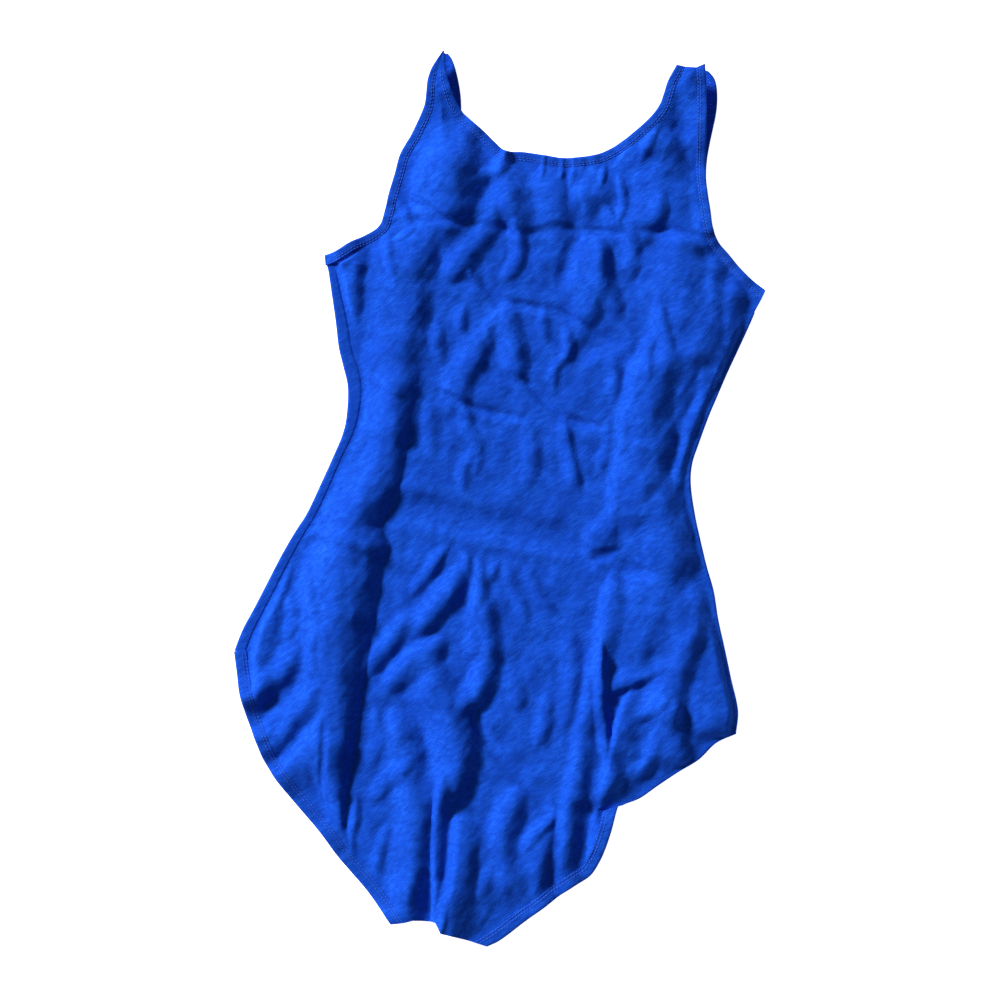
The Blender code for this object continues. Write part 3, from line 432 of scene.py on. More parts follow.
def add_fold(lift, fold, x, y, fade):
    """Adds one fold where it reaches: soft on both sides and dying out at both ends.

    The crest goes on a little past its path, narrows and sinks there. A negative height
    makes a trough.
    """
    line = curve(fold.path, 5)
    more = min(9.0, 0.3 * np.hypot(*(line[-1] - line[0])))
    out, back = line[0] - line[1], line[-1] - line[-2]
    line = np.vstack([line[0] + out * more / np.hypot(*out), line,
                      line[-1] + back * more / np.hypot(*back)])
    reach = 1.15 * max(fold.lit, fold.shade)
    near = ((x > line[:, 0].min() - reach) & (x < line[:, 0].max() + reach)
            & (y > line[:, 1].min() - reach) & (y < line[:, 1].max() + reach))
    if not near.any():
        return
    px, py = x[near], y[near]
    best = np.full(px.shape, 1e9)
    side, along = np.zeros(px.shape), np.zeros(px.shape)
    lengths = np.hypot(*np.diff(line, axis=0).T)
    total, start = lengths.sum(), 0.0
    for a, b, size in zip(line[:-1], line[1:], lengths):
        u = (b - a) / size
        qx, qy = px - a[0], py - a[1]
        s = np.clip(qx * u[0] + qy * u[1], 0, size)
        dist = np.hypot(qx - s * u[0], qy - s * u[1])
        closer = dist < best
        best = np.where(closer, dist, best)
        side = np.where(closer, np.sign(qx * u[1] - qy * u[0]), side)
        along = np.where(closer, start + s, along)
        start += size
    taper = min(0.45 * total, 11.0 + 2.6 * abs(fold.height))
    ends = ease(along / taper) * ease((total - along) / taper)
    width = np.where(side > 0, fold.shade, fold.lit) * (0.45 + 0.7 * ends)
    across = np.clip(1 - (best / width) ** 2, 0, 1) ** 2
    lift[near] += fold.height * across * ends * fade[near]


def roll_height(x, y):
    """The large roll: a soft lit flank, then a round drop into its sharp valley."""
    rows = np.array(ROLL)
    crest, valley, top = (np.interp(y, rows[:, 0], rows[:, k]) for k in (1, 2, 3))
    wide = np.interp(y, (-250, -185), (ROLL_LIT_LOW, ROLL_LIT))
    lit = np.clip(1 - ((crest - x) / wide) ** 2, 0, 1) ** 2
    drop = 1 - np.clip((x - crest) / np.maximum(valley - crest, 1), 0, 1) ** 2
    inside = (y > rows[0, 0]) & (y < rows[-1, 0])
    return np.where(inside, top * np.where(x < crest, lit, drop), 0)


Ripple = namedtuple("Ripple", "height long across turn start")
RIPPLES = [Ripple(*row) for row in (
    (0.42, 47, 33, 0.5, 0.3), (0.34, 34, 41, 1.4, 1.7), (0.26, 24, 29, 2.3, 4.1),
    (0.19, 17, 21, 0.9, 2.6), (0.12, 12, 14, 1.9, 5.2), (0.07, 8, 10, 0.2, 3.3),
)]


def ripple_height(x, y):
    """The slight unevenness of worn jersey between its creases."""
    lift = np.zeros(x.shape)
    for r in RIPPLES:
        u = x * math.cos(r.turn) + y * math.sin(r.turn)
        v = y * math.cos(r.turn) - x * math.sin(r.turn)
        wander = 1.7 * np.sin(v / (r.across * 1.9) + r.start)
        lift += r.height * np.sin(u / r.long * 2 * math.pi + wander) * np.sin(
            v / r.across * 2 * math.pi + r.start + 1.3 * np.sin(u / (r.long * 2.3)))
    return lift


def front_height(x, y, edge, fade):
    """Underside of the front cloth: its rest height, its loft and every fold."""
    fade = fade * ease(np.hypot(x - PRESSED.x, y - PRESSED.y) / PRESSED_REACH)
    lift = LOFT * ease(edge / LOFT_REACH) + (roll_height(x, y) + ripple_height(x, y)) * fade
    for fold in MAIN_FOLDS + SMALL_CREASES:
        add_fold(lift, fold, x, y, fade)
    return REST + 0.5 * (lift + np.sqrt(lift * lift + 4 * SOFT * SOFT))


def stations(left, right, y, columns):
    """Where each column stands on a row, from 0 at its left edge to 1 at its right."""
    rows = np.array(GUIDES)
    lines = [np.interp(y, rows[:, 0], rows[:, k]) for k in (1, 2, 3, 4)]
    width = right - left
    at = [0.0]
    for column, line in zip(GUIDE_COLS[1:-1], lines):
        low = at[-1] + LEAST_SHARE * (column - GUIDE_COLS[len(at) - 1]) / GUIDE_COLS[-1]
        high = 1 - LEAST_SHARE * (GUIDE_COLS[-1] - column) / GUIDE_COLS[-1]
        at.append(min(max((line - left) / width, low), high))
    at.append(1.0)
    return np.interp(columns, GUIDE_COLS, at)


def panel_grid(left, right, top, bend, crotch, ease_rows, guided):
    """Rows of a body panel, from the crotch up.

    The last rows, as many as bend says, bend up to the neck row on top, and the first
    ease_rows follow the crotch. Guided rows keep some columns along the large folds.
    """
    columns = np.linspace(0, GUIDE_COLS[-1], len(top))
    at_top = (top[:, 0] - top[0, 0]) / (top[-1, 0] - top[0, 0])
    rise = top[:, 1] - (top[0, 1] + (top[-1, 1] - top[0, 1]) * at_top)
    last = len(left) - 1
    rows = []
    for i, (a, b) in enumerate(zip(left, right)):
        pull = ease((i - (last - bend)) / bend)
        s = columns / GUIDE_COLS[-1]
        if guided:
            s = stations(a[0], b[0], 0.5 * (a[1] + b[1]), columns)
        s = s * (1 - pull) + at_top * pull
        row = a + (b - a) * s[:, None]
        row[:, 1] += pull * rise
        rows.append(row)
    sink = np.interp(rows[0][:, 0], crotch[:, 0], crotch[:, 1]) - rows[0][:, 1]
    sink[[0, -1]] = 0
    for i in range(ease_rows):
        rows[i][:, 1] += sink * (1 - i / ease_rows)
    rows[-1] = top.copy()
    return np.array(rows)


def strap_grid(base, near, far):
    """Rows of a strap between its two edges, above a base row."""
    s = np.linspace(0, 1, len(base))[None, :, None]
    rest = near[1:, None, :] * (1 - s) + far[1:, None, :] * s
    return np.concatenate([base[None], rest])


class Cloth:
    """One layer of cloth as grids of points that share their edges."""

    def __init__(self):
        self.points = []
        self.quads = []
        self.count = 0

    def add(self, grid):
        """Adds a grid of points and returns their numbers."""
        flat = grid.reshape(-1, 3)
        index = np.arange(self.count, self.count + len(flat)).reshape(grid.shape[:2])
        self.points.append(flat)
        self.count += len(flat)
        return index

    def cover(self, index):
        """Lays quads over a grid of numbers."""
        quads = np.stack([index[:-1, :-1], index[:-1, 1:], index[1:, 1:], index[1:, :-1]], 2)
        self.quads.append(quads.reshape(-1, 4))


def lowest_near(height, reach):
    """The lowest of the heights around each place in a grid."""
    low = height.copy()
    for axis in (0, 1):
        base = low.copy()
        for shift in range(1, reach + 1):
            ahead, behind = np.roll(base, shift, axis), np.roll(base, -shift, axis)
            first, last = [slice(None)] * 2, [slice(None)] * 2
            first[axis], last[axis] = slice(0, shift), slice(-shift, None)
            ahead[tuple(first)] = 1e9
            behind[tuple(last)] = 1e9
            low = np.minimum(low, np.minimum(ahead, behind))
    return low


def closed_piece(name, points, faces, sharp=None):
    """A smooth piece of points in millimetres. Edges beyond the angle stay sharp."""
    mesh = bpy.data.meshes.new(name)
    mesh.from_pydata((points * MM).tolist(), [], faces)
    form = bmesh.new()
    form.from_mesh(mesh)
    bmesh.ops.recalc_face_normals(form, faces=form.faces)
    form.to_mesh(mesh)
    form.free()
    mesh.shade_smooth()
    if sharp:
        mesh.set_sharp_from_angle(angle=math.radians(sharp))
    piece = bpy.data.objects.new(name, mesh)
    scene.collection.objects.link(piece)
    return piece


def closed_wall(name, outer, inner, partner):
    """A closed wall from a fine outer layer, a coarser inner one and a rim between them.

    partner gives the outer point over each inner point.
    """
    fine = np.vstack(outer.quads)
    coarse = np.vstack(inner.quads)[:, ::-1] + outer.count
    follow = {}
    known = set(map(tuple, np.vstack([fine[:, (k, (k + 1) % 4)] for k in range(4)])))
    for a, b in known:
        if (b, a) not in known:
            follow[a] = b
    lower = set(map(tuple, np.vstack([coarse[:, (k, (k + 1) % 4)] for k in range(4)])))
    rim = []
    for a, b in lower:
        if (b, a) in lower:
            continue
        low_a, low_b = a - outer.count, b - outer.count
        path = [partner[low_b]]
        while path[-1] != partner[low_a] and len(path) < 60:
            path.append(follow[path[-1]])
        rim.append([b, a] + path[::-1])
    points = np.vstack(outer.points + inner.points)
    return closed_piece(name, points, fine.tolist() + coarse.tolist() + rim, 50)


def every_step(table):
    """The sections of a whole table, one at each grid step."""
    last = len(table) - 1
    return matched(table, np.linspace(0, last, last * FINE + 1))


def turned_end(line, end, width, count, at_start):
    """Turns the last few of a hem's directions, to the way across its end in millimetres."""
    part = np.linspace(1, 0, count + 1)[:, None]
    line = line if at_start else line[::-1]
    line[:count + 1] = line[:count + 1] * (1 - part) + np.array(end) / width * part
    return line if at_start else line[::-1]


def leg_edges(inset):
    """Both leg outlines with the inward direction of their hems."""
    hips = every_step(HIPS)
    left = hips[:, 0:2] + inset * inward(hips[:, 0:2], 1)
    right = hips[:HEM_ROWS * FINE + 1, 2:4]
    right = right + inset * inward(right, -1)
    left_in = turned_end(inward(left, 1), (10.3, 2.8), LEG_HEM, FINE, True)
    right_in = turned_end(inward(right, -1), (-10.5, 1.8), LEG_HEM, FINE, True)
    return hips, left, left_in, right, right_in


def arm_edges(arms, left_strap, right_strap):
    """Both armhole outlines up to the shoulder, and the widths of their hems."""
    arm, left_up, right_up = every_step(arms), every_step(left_strap), every_step(right_strap)
    left = np.vstack([arm[:, 0:2], left_up[1:, 0:2]])
    right = np.vstack([arm[:, 2:4], right_up[1:, 0:2]])
    left_width = np.concatenate([np.full(len(arm), NECK_HEM), left_up[1:, 4]])
    right_width = np.concatenate([np.full(len(arm), NECK_HEM), right_up[1:, 4]])
    return arm, left_up, right_up, left, right, left_width[:, None], right_width[:, None]


def between(first, last, steps):
    """Points spread evenly from the first to the last."""
    return first + (last - first) * np.linspace(0, 1, steps + 1)[:, None]


# Both edges of the front, crotch first, and its neck row
hips, left_leg, left_leg_in, right_leg, right_leg_in = leg_edges(0.0)
left_leg_edge = left_leg + left_leg_in * (LEG_HEM + TUCK)
right_leg_edge = right_leg + right_leg_in * (LEG_HEM + TUCK)
# The right hem's outer edge runs on a little, up to the side that rolls under
RUN_ON = 7.5
ahead = right_leg[-1] - right_leg[-3]
run_on = ease(np.arange(FINE + 1) / FINE)[:, None] * (ahead / np.hypot(*ahead) * RUN_ON)
right_leg[-FINE - 1:] += run_on
right_leg_in[-FINE - 1:] -= run_on / LEG_HEM
LOW_ROW = 0.8
LAST_ROW = len(SIDES) - 1
side_rows = np.concatenate([np.linspace(0, LOW_ROW, FINE + 1)[1:],
                            np.linspace(LOW_ROW, LAST_ROW, (SIDE_ROWS - 1) * FINE + 1)[1:]])
side = matched(SIDES, side_rows)
arm, left_up, right_up, left_arm, right_arm, left_arm_width, right_arm_width = arm_edges(
    FRONT_ARMS, FRONT_LEFT_STRAP, FRONT_RIGHT_STRAP)
n_arm = len(arm)
left_arm_in = turned_end(inward(left_arm, 1), (1.8, -7.8), NECK_HEM, 6, True)
right_arm_in = turned_end(inward(right_arm, -1), (-2.2, -7.2), NECK_HEM, 3, True)
right_arm_in = turned_end(right_arm_in, (-6.2, -3.8), NECK_HEM, 4, False)
left_arm_edge = left_arm + left_arm_in * (left_arm_width + TUCK)
right_arm_edge = right_arm + right_arm_in * (right_arm_width + TUCK)
neck = spaced(FRONT_NECK, NECK_COLS * FINE)
neck_line = np.vstack([left_up[::-1, 2:4], neck[1:-1], right_up[:, 2:4]])
neck_width = np.concatenate([left_up[::-1, 4], np.full(len(neck) - 2, NECK_HEM), right_up[:, 4]])
neck_width = neck_width[:, None]
neck_in = turned_end(inward(neck_line, 1), (6.6, -0.6), NECK_HEM, 4, False)
neck_edge = neck_line + neck_in * (neck_width + TUCK)
neck_start, neck_end = len(left_up) - 1, len(neck_line) - len(right_up)

LEFT_SEAM_TOP = Edge(-157.4, 153.4)
seam = np.stack([side[:, 0] + side[:, 2] - TUCK, side[:, 1]], 1)
seam[-1] = LEFT_SEAM_TOP
seam = straightened(seam, len(seam) - 1 - FINE, len(seam) - 1)
first_side = len(left_leg_edge) - 1
last_side = first_side + SIDE_ROWS * FINE
first_roll, last_roll = (HEM_ROWS + 1) * FINE, last_side - FINE
left_edge = np.vstack([left_leg_edge, seam, left_arm_edge[1:n_arm]])
left_edge = straightened(left_edge, first_side, first_side + FINE)
left_edge = straightened(left_edge, last_side, last_side + FINE)
# The right side turns under. The turn swells from both of its ends towards its full depth.
turned = np.vstack([hips[HEM_ROWS * FINE + 1:, 2:4], side[:, 3:5]])
at = np.arange(len(turned))
LEAST_SWELL = 0.35
swell = LEAST_SWELL + (1 - LEAST_SWELL) * ease((at - FINE + 1) / (2 * FINE)) * ease(
    (len(turned) - 1 - FINE - at) / (2 * FINE))
turned[:, 0] -= TURN * swell
turned[-1] = right_arm_edge[0]
right_edge = np.vstack([right_leg_edge, turned, right_arm_edge[1:n_arm]])
right_edge = straightened(right_edge, HEM_ROWS * FINE, first_roll)
right_edge = straightened(right_edge, last_roll, last_side)
neck_row = np.vstack([
    between(left_arm_edge[n_arm - 1], neck_edge[neck_start], LEFT_COLS * FINE),
    neck_edge[neck_start + 1:neck_end],
    between(neck_edge[neck_end], right_arm_edge[n_arm - 1], RIGHT_COLS * FINE)])
front_body = panel_grid(left_edge, right_edge, neck_row, bend=11 * FINE,
                        crotch=np.array(FRONT_CROTCH), ease_rows=8, guided=True)
left_corner = LEFT_COLS * FINE
right_corner = front_body.shape[1] - 1 - RIGHT_COLS * FINE


def away_from(point):
    """How far each point of the front body is from another, or from its column's."""
    return np.hypot(front_body[:, :, 0] - point[..., 0], front_body[:, :, 1] - point[..., 1])


# How high the front lies: less near its edges, and flat where its side seams hold it
gap_left = front_body[:, :, 0] - front_body[:, :1, 0]
gap_right = front_body[:, -1:, 0] - front_body[:, :, 0]
gap_top = away_from(front_body[-1:])
gap_top[:, :left_corner] = away_from(front_body[-1, left_corner])[:, :left_corner]
gap_top[:, right_corner + 1:] = away_from(front_body[-1, right_corner])[:, right_corner + 1:]
gap_low = away_from(front_body[:1])
to_edge = np.minimum(np.minimum(gap_left, gap_right), np.minimum(gap_top, gap_low))
SEAM_REACH = 7
held = np.ones(front_body.shape[:2])
row = np.arange(len(held))[:, None]
for first, gap in ((first_side, gap_left), (first_roll, gap_right)):
    grip = np.minimum(ease(1 - (first - row) / (3 * FINE)), ease(1 - (row - last_side) / (3 * FINE)))
    held *= 1 - grip * (1 - ease(gap / SEAM_REACH))
front_top = front_height(front_body[:, :, 0], front_body[:, :, 1], to_edge, held) + CLOTH
front_low = lowest_near(front_top, COARSE) - CLOTH

# The outer and inner layers: the body, its right side rolled under, and both straps
front_outer, front_inner = Cloth(), Cloth()
over = front_outer.add(np.dstack([front_body, front_top]))
under = front_inner.add(np.dstack([front_body, front_low])[::COARSE, ::COARSE])
front_outer.cover(over)
front_inner.cover(under)
partner = dict(zip(under.ravel().tolist(), over[::COARSE, ::COARSE].ravel().tolist()))
bend_radius = (REST + SOFT - CLOTH) / 2
roll_middle = CLOTH + bend_radius
over_rolled = over[first_roll:last_roll + 1, -1:]
under_rolled = under[first_roll // COARSE:last_roll // COARSE + 1, -1:]
roll_swell = swell[first_roll - len(right_leg_edge):last_roll + 1 - len(right_leg_edge)]
rolled = []
for layer, holder, step, radius, count in (
        (front_outer, over_rolled, 1, bend_radius + CLOTH, 9),
        (front_inner, under_rolled, COARSE, bend_radius, 3)):
    edge = front_body[first_roll:last_roll + 1:step, -1]
    bulge = radius * roll_swell[::step]
    rows = []
    for angle in np.linspace(0, math.pi, count + 1)[1:]:
        rows.append(np.stack([edge[:, 0] + bulge * math.sin(angle), edge[:, 1],
                              np.full(len(edge), roll_middle + radius * math.cos(angle))], 1))
    for reach in np.linspace(0, UNDER_WRAP - TURN, count // 3 * 2 + 1)[1:]:
        rows.append(np.stack([edge[:, 0] - reach, edge[:, 1],
                              np.full(len(edge), roll_middle - radius)], 1))
    rolled.append(layer.add(np.array(rows).transpose(1, 0, 2)))
    layer.cover(np.hstack([holder, rolled[-1]]))
partner.update(zip(rolled[1].ravel().tolist(), rolled[0][::COARSE, 2::3].ravel().tolist()))
STRAP_EDGE = 3.0
for near, far, cols in (
        (left_arm_edge[n_arm - 1:], neck_edge[neck_start::-1], slice(0, left_corner + 1)),
        (neck_edge[neck_end:], right_arm_edge[n_arm - 1:],
         slice(right_corner, right_corner + RIGHT_COLS * FINE + 1))):
    grid = strap_grid(front_body[-1, cols], near, far)
    shape = grid.shape[:2]
    top = front_height(grid[:, :, 0], grid[:, :, 1], np.full(shape, STRAP_EDGE), np.ones(shape)) + CLOTH
    fade_in = ease(np.arange(shape[0]) / (2 * FINE))[:, None]
    top = top * fade_in + (top + front_top[-1, cols] - top[0]) * (1 - fade_in)
    low = lowest_near(top, COARSE) - CLOTH
    outer = front_outer.add(np.dstack([grid, top])[1:])
    inner = front_inner.add(np.dstack([grid, low])[COARSE::COARSE, ::COARSE])
    front_outer.cover(np.vstack([over[-1:, cols], outer]))
    front_inner.cover(np.vstack([under[-1:, cols.start // COARSE:(cols.stop - 1) // COARSE + 1], inner]))
    partner.update(zip(inner.ravel().tolist(), outer[COARSE - 1::COARSE, ::COARSE].ravel().tolist()))
front_cloth = closed_wall("front_cloth", front_outer, front_inner, partner)


def linear(code):
    """A colour of the screen, as a hex code, in the values that a shader takes."""
    parts = [int(code[i:i + 2], 16) / 255 for i in (1, 3, 5)]
    return tuple(c / 12.92 if c <= 0.04045 else ((c + 0.055) / 1.055) ** 2.4 for c in parts) + (1.0,)


def node(tree, kind, links=(), **settings):
    """Adds a node with its settings, then links sources to its sockets."""
    new = tree.nodes.new(kind)
    for key, value in settings.items():
        if hasattr(new, key):
            setattr(new, key, value)
        else:
            new.inputs[key.replace("_", " ")].default_value = value
    for socket, source in links:
        tree.links.new(source, new.inputs[socket])
    return new


def surface(name, **settings):
    """A new material with settings of its shader, its node tree and that shader."""
    material = bpy.data.materials.new(name)
    material.use_nodes = True
    tree = material.node_tree
    shader = tree.nodes["Principled BSDF"]
    for key, value in settings.items():
        shader.inputs[key.replace("_", " ")].default_value = value
    return material, tree, shader


def blend(tree, factor, first, second):
    """A mix of two colours, each a hex code or the output of a node."""
    mix = node(tree, "ShaderNodeMix", [("Factor", factor)], data_type="RGBA")
    for socket, colour in (("A", first), ("B", second)):
        if isinstance(colour, str):
            mix.inputs[socket].default_value = linear(colour)
        else:
            tree.links.new(colour, mix.inputs[socket])
    return mix.outputs["Result"]


WALE = 0.0016
RIB_SLANT = math.radians(52)
# how much of the rib's painted highlight goes into the lighter flecks
RIB_HIGHLIGHT_IN_FLECKS = 0.28
CRINKLE = 5.2


def jersey(name, base, fleck_and_highlight, shadow, rib_depth):
    """Cotton and elastane jersey, weft-knitted: matt, with a fine slanted rib of loops.

    Real wales are 0.7 mm apart. They are drawn 1.6 mm apart, the finest that shows here.
    """
    material, tree, shader = surface(
        name, Roughness=0.92, Specular_IOR_Level=0.08, Sheen_Weight=0.12, Sheen_Roughness=0.45,
        Sheen_Tint=linear(fleck_and_highlight))
    place = node(tree, "ShaderNodeTexCoord").outputs["Object"]
    slant = node(tree, "ShaderNodeMapping", [("Vector", place)])
    slant.inputs["Rotation"].default_value = (0.0, 0.0, RIB_SLANT)
    rib = node(tree, "ShaderNodeTexWave", [("Vector", slant.outputs[0])],
               Scale=0.314 / WALE, Distortion=4.0, Detail=3.0, Detail_Scale=2.0)
    loops = node(tree, "ShaderNodeTexNoise", [("Vector", slant.outputs[0])], Scale=620.0, Detail=2.0)
    stretch = node(tree, "ShaderNodeMapping", [("Vector", slant.outputs[0])])
    stretch.inputs["Scale"].default_value = (1.0, 0.35, 1.0)
    fibre = node(tree, "ShaderNodeTexNoise", [("Vector", stretch.outputs[0])], Scale=420.0, Detail=3.0)
    cloud = node(tree, "ShaderNodeTexNoise", [("Vector", place)], Scale=38.0, Detail=3.0)
    # The loops' catch of the light is painted as lighter flecks along the rib, a painted highlight, mixed
    # with random flecks of lighter fibre; and the dye is a little uneven
    fine = node(tree, "ShaderNodeMath", [(0, rib.outputs["Fac"]), (2, fibre.outputs["Fac"])],
                operation="MULTIPLY_ADD")
    fine.inputs[1].default_value = RIB_HIGHLIGHT_IN_FLECKS
    fibre_and_highlight_flecks = node(tree, "ShaderNodeMapRange", [("Value", fine.outputs[0])], From_Min=0.48, From_Max=0.88)
    uneven = node(tree, "ShaderNodeMapRange", [("Value", cloud.outputs["Fac"])],
                  From_Min=0.35, From_Max=0.75, To_Max=0.45)
    dyed = blend(tree, uneven.outputs[0], blend(tree, fibre_and_highlight_flecks.outputs[0], base, fleck_and_highlight), shadow)
    tree.links.new(dyed, shader.inputs["Base Color"])
    # The relief: rib and loops, on the fine crinkle of worn jersey
    crepe = node(tree, "ShaderNodeTexNoise", [("Vector", place)], Scale=290.0, Detail=4.0, Roughness=0.68)
    worn = node(tree, "ShaderNodeMath", [(0, crepe.outputs["Fac"]), (2, rib.outputs["Fac"])],
                operation="MULTIPLY_ADD")
    worn.inputs[1].default_value = CRINKLE
    relief = node(tree, "ShaderNodeMath", [(0, worn.outputs[0]), (1, loops.outputs["Fac"])], operation="ADD")
    raised = node(tree, "ShaderNodeBump", [("Height", relief.outputs[0])], Strength=0.55, Distance=rib_depth)
    tree.links.new(raised.outputs[0], shader.inputs["Normal"])
    return material


# The knit's ground is a deep royal blue. Its raised loops get a painted highlight, and some of its fibres
# are lighter
front_knit = jersey("cotton_jersey_front", "#0C46C4", "#1C60E8", "#0A38AC", 0.00015)
front_cloth.data.materials.append(front_knit)
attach(front_cloth, root)
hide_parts("front_panel")


# The front hems. At each leg, armhole and at the neck the jersey is turned over a narrow
# elastic and top-stitched, so a hem is a rounded band, a little thicker than the panel.
HemPoint = namedtuple("HemPoint", "across up")
HEM_SHAPE = [HemPoint(*row) for row in (
    (0.05, 0.0), (0.5, 0.0), (0.97, 0.0), (1.0, 0.25), (1.0, 0.8),
    (0.95, 0.92), (0.88, 0.9), (0.8, 0.86), (0.72, 0.94), (0.62, 0.99),
    (0.5, 1.0), (0.36, 1.02), (0.22, 1.02), (0.11, 0.96), (0.04, 0.82),
    (0.0, 0.55), (0.0, 0.3), (0.02, 0.1),
)]


Hem = namedtuple("Hem", "line direction width low")


def hem_along(line, direction, width, edge=None):
    """A hem on its outline. It lies as high as the front's edge, or flat where none is given."""
    low = np.zeros(len(line))
    if edge is not None:
        low = front_height(edge[:, 0], edge[:, 1], low, low + 1)
    return Hem(line, direction, np.broadcast_to(width, (len(line), 1)), low)


def hem_band(name, hem, carries, pucker=0.0):
    """A closed rounded band along an edge, as wide as its hem, on its panel's rise and fall."""
    run = np.concatenate([[0], np.cumsum(np.hypot(*np.diff(hem.line, axis=0).T))])
    wave = pucker * np.sin(run / 3.1 + 0.8 * np.sin(run / 9.0)) * (0.6 + 0.4 * np.sin(run / 27.0))
    points = []
    for p in HEM_SHAPE:
        spot = hem.line + hem.direction * hem.width * p.across
        rise = hem.low + p.up * HEM + (wave * p.across if p.up > 0.5 else 0.0)
        points.append(np.column_stack([spot, rise]))
    points = np.stack(points, 1)
    rows, size = points.shape[:2]
    index = np.arange(rows * size).reshape(rows, size)
    index = np.hstack([index, index[:, :1]])
    faces = np.stack([index[:-1, :-1], index[:-1, 1:], index[1:, 1:], index[1:, :-1]], 2)
    faces = faces.reshape(-1, 4).tolist() + [index[0, :-1].tolist(), index[-1, :-1].tolist()]
    piece = closed_piece(name, points.reshape(-1, 3), faces, 60)
    piece.data.materials.append(hem_knit)
    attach(piece, root)
    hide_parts(carries)
    return piece


hem_knit = jersey("cotton_jersey_turned_hem", "#0C45C0", "#1E60E4", "#0A36A6", 0.00012)
neck_hem = hem_along(neck_line, neck_in, neck_width, neck_edge)
left_arm_hem = hem_along(left_arm, left_arm_in, left_arm_width, left_arm_edge)
right_arm_hem = hem_along(right_arm, right_arm_in, right_arm_width, right_arm_edge)
left_leg_hem = hem_along(left_leg, left_leg_in, LEG_HEM, left_leg_edge)
right_leg_hem = hem_along(right_leg, right_leg_in, LEG_HEM, right_leg_edge)
front_hems = [
    hem_band("front_neck_band", neck_hem, "front_neck_hem", 0.12),
    hem_band("front_left_arm_band", left_arm_hem, "front_armhole_hem_left", 0.06),
    hem_band("front_right_arm_band", right_arm_hem, "front_armhole_hem_right", 0.06),
    hem_band("front_left_leg_band", left_leg_hem, "front_leg_hem_left", 0.08),
    hem_band("front_right_leg_band", right_leg_hem, "front_leg_hem_right", 0.08),
]

# The back panel. It has the front's outline, but for a deep scoop at the neck. It lies flat
# on the table, and at the left it rolls up and over, as far as the side seam on top.
BACK_IN = 1.0
BACK_FINE = 3
BACK_ARMS = [Section(*row) for row in (
    (-164, 158, 165.5, 177.5),
    (-156, 161, 154.5, 183.3),
    (-146.5, 169, 144.5, 190.8),
    (-136, 175.5, 134.5, 199.8),
    (-126.5, 184.5, 125.5, 207.6),
    (-124, 198, 119.5, 217.7),
    (-122.6, 212, 116, 229.5),
    (-120, 226, 113, 240.5),
    (-117.5, 241, 111.3, 251),
    (-111.5, 256, 109.8, 262),
    (-107, 270, 109.4, 271),
)]
BACK_LEFT_STRAP = [Strap(*row) for row in (
    (-107, 270, -76.5, 262, 7),
    (-104.6, 283, -78.2, 278, 7),
    (-104, 292, -80.3, 290, 6.6),
    (-103.3, 300, -83.2, 300, 6),
    (-101.5, 307, -86.2, 308, 5.4),
    (-100.6, 312.5, -88.5, 313, 4.4),
    (-98.9, 317.5, -91.2, 317.6, 3.0),
    (-97.4, 321.2, -94.6, 321.2, 0.9),
)]
BACK_RIGHT_STRAP = [Strap(*row) for row in (
    (109.4, 271, 78, 262, 7),
    (109.8, 281, 80, 276, 7),
    (110.6, 292, 81.5, 290, 7),
    (111.3, 302, 82.5, 303, 7),
    (111.2, 311, 83.5, 314, 7),
    (109.6, 322, 84, 322, 7),
    (106.6, 330, 82.5, 330, 7),
    (101.5, 335, 82, 335, 6.5),
)]
BACK_NECK = [Edge(*row) for row in (
    (-72, 214), (-64, 185), (-52, 163), (-34, 147), (-12, 140.3),
    (10, 140.3), (32, 147), (51, 165), (64, 188), (72, 214),
)]
BACK_CROTCH = [Edge(-35.4, -328), Edge(-20, -325), Edge(0, -327), Edge(17.2, -334)]


def level_with(side, neck):
    """Points on a neck edge, one for each row of a side edge, nearly level with it."""
    run = np.concatenate([[0], np.cumsum(np.hypot(*np.diff(side, axis=0).T))])
    part = run / run[-1]
    first, last = neck[0, 1] - side[0, 1], neck[-1, 1] - side[-1, 1]
    want = side[:, 1] + first * (1 - part) + last * part
    x = np.interp(want, neck[:, 1], neck[:, 0])
    found = np.stack([x, want], 1)
    found[0], found[-1] = neck[0], neck[-1]
    return found


FINE = BACK_FINE
back_hips, back_left_leg, back_left_leg_in, back_right_leg, back_right_leg_in = leg_edges(BACK_IN)
back_left_leg_in = turned_end(back_left_leg_in, (1.0, 0.03), 1.0, 3, False)
FIRST_ROW = 0.03
back_side = matched(SIDES, np.linspace(FIRST_ROW, LAST_ROW, SIDE_ROWS * FINE + 1))
left_up, right_up, back_left_arm, back_right_arm, back_left_width, back_right_width = arm_edges(
    BACK_ARMS, BACK_LEFT_STRAP, BACK_RIGHT_STRAP)[1:]
back_left_arm_in = turned_end(inward(back_left_arm, 1), (2.2, -6.4), NECK_HEM, 2, True)
back_right_arm_in = turned_end(inward(back_right_arm, -1), (-2.2, -6.4), NECK_HEM, 2, True)
back_right_arm_in = turned_end(back_right_arm_in, (-6.6, 1.0), NECK_HEM, 2, False)
back_left_edge = back_left_arm + back_left_arm_in * (back_left_width + TUCK)
back_right_edge = back_right_arm + back_right_arm_in * (back_right_width + TUCK)
outline = np.vstack([left_up[::-FINE, 2:4], np.array(BACK_NECK), right_up[::FINE, 2:4]])
back_neck_line = spaced(outline, 60 * FINE)
heights, widths = np.array([(row.neck_y, row.hem) for row in BACK_LEFT_STRAP]).T
back_neck_width = np.interp(back_neck_line[:, 1], heights, widths)
back_neck_width = np.where(back_neck_line[:, 0] < 0, back_neck_width, NECK_HEM)[:, None]
back_neck_in = inward(back_neck_line, 1)
back_neck_edge = back_neck_line + back_neck_in * (back_neck_width + TUCK)
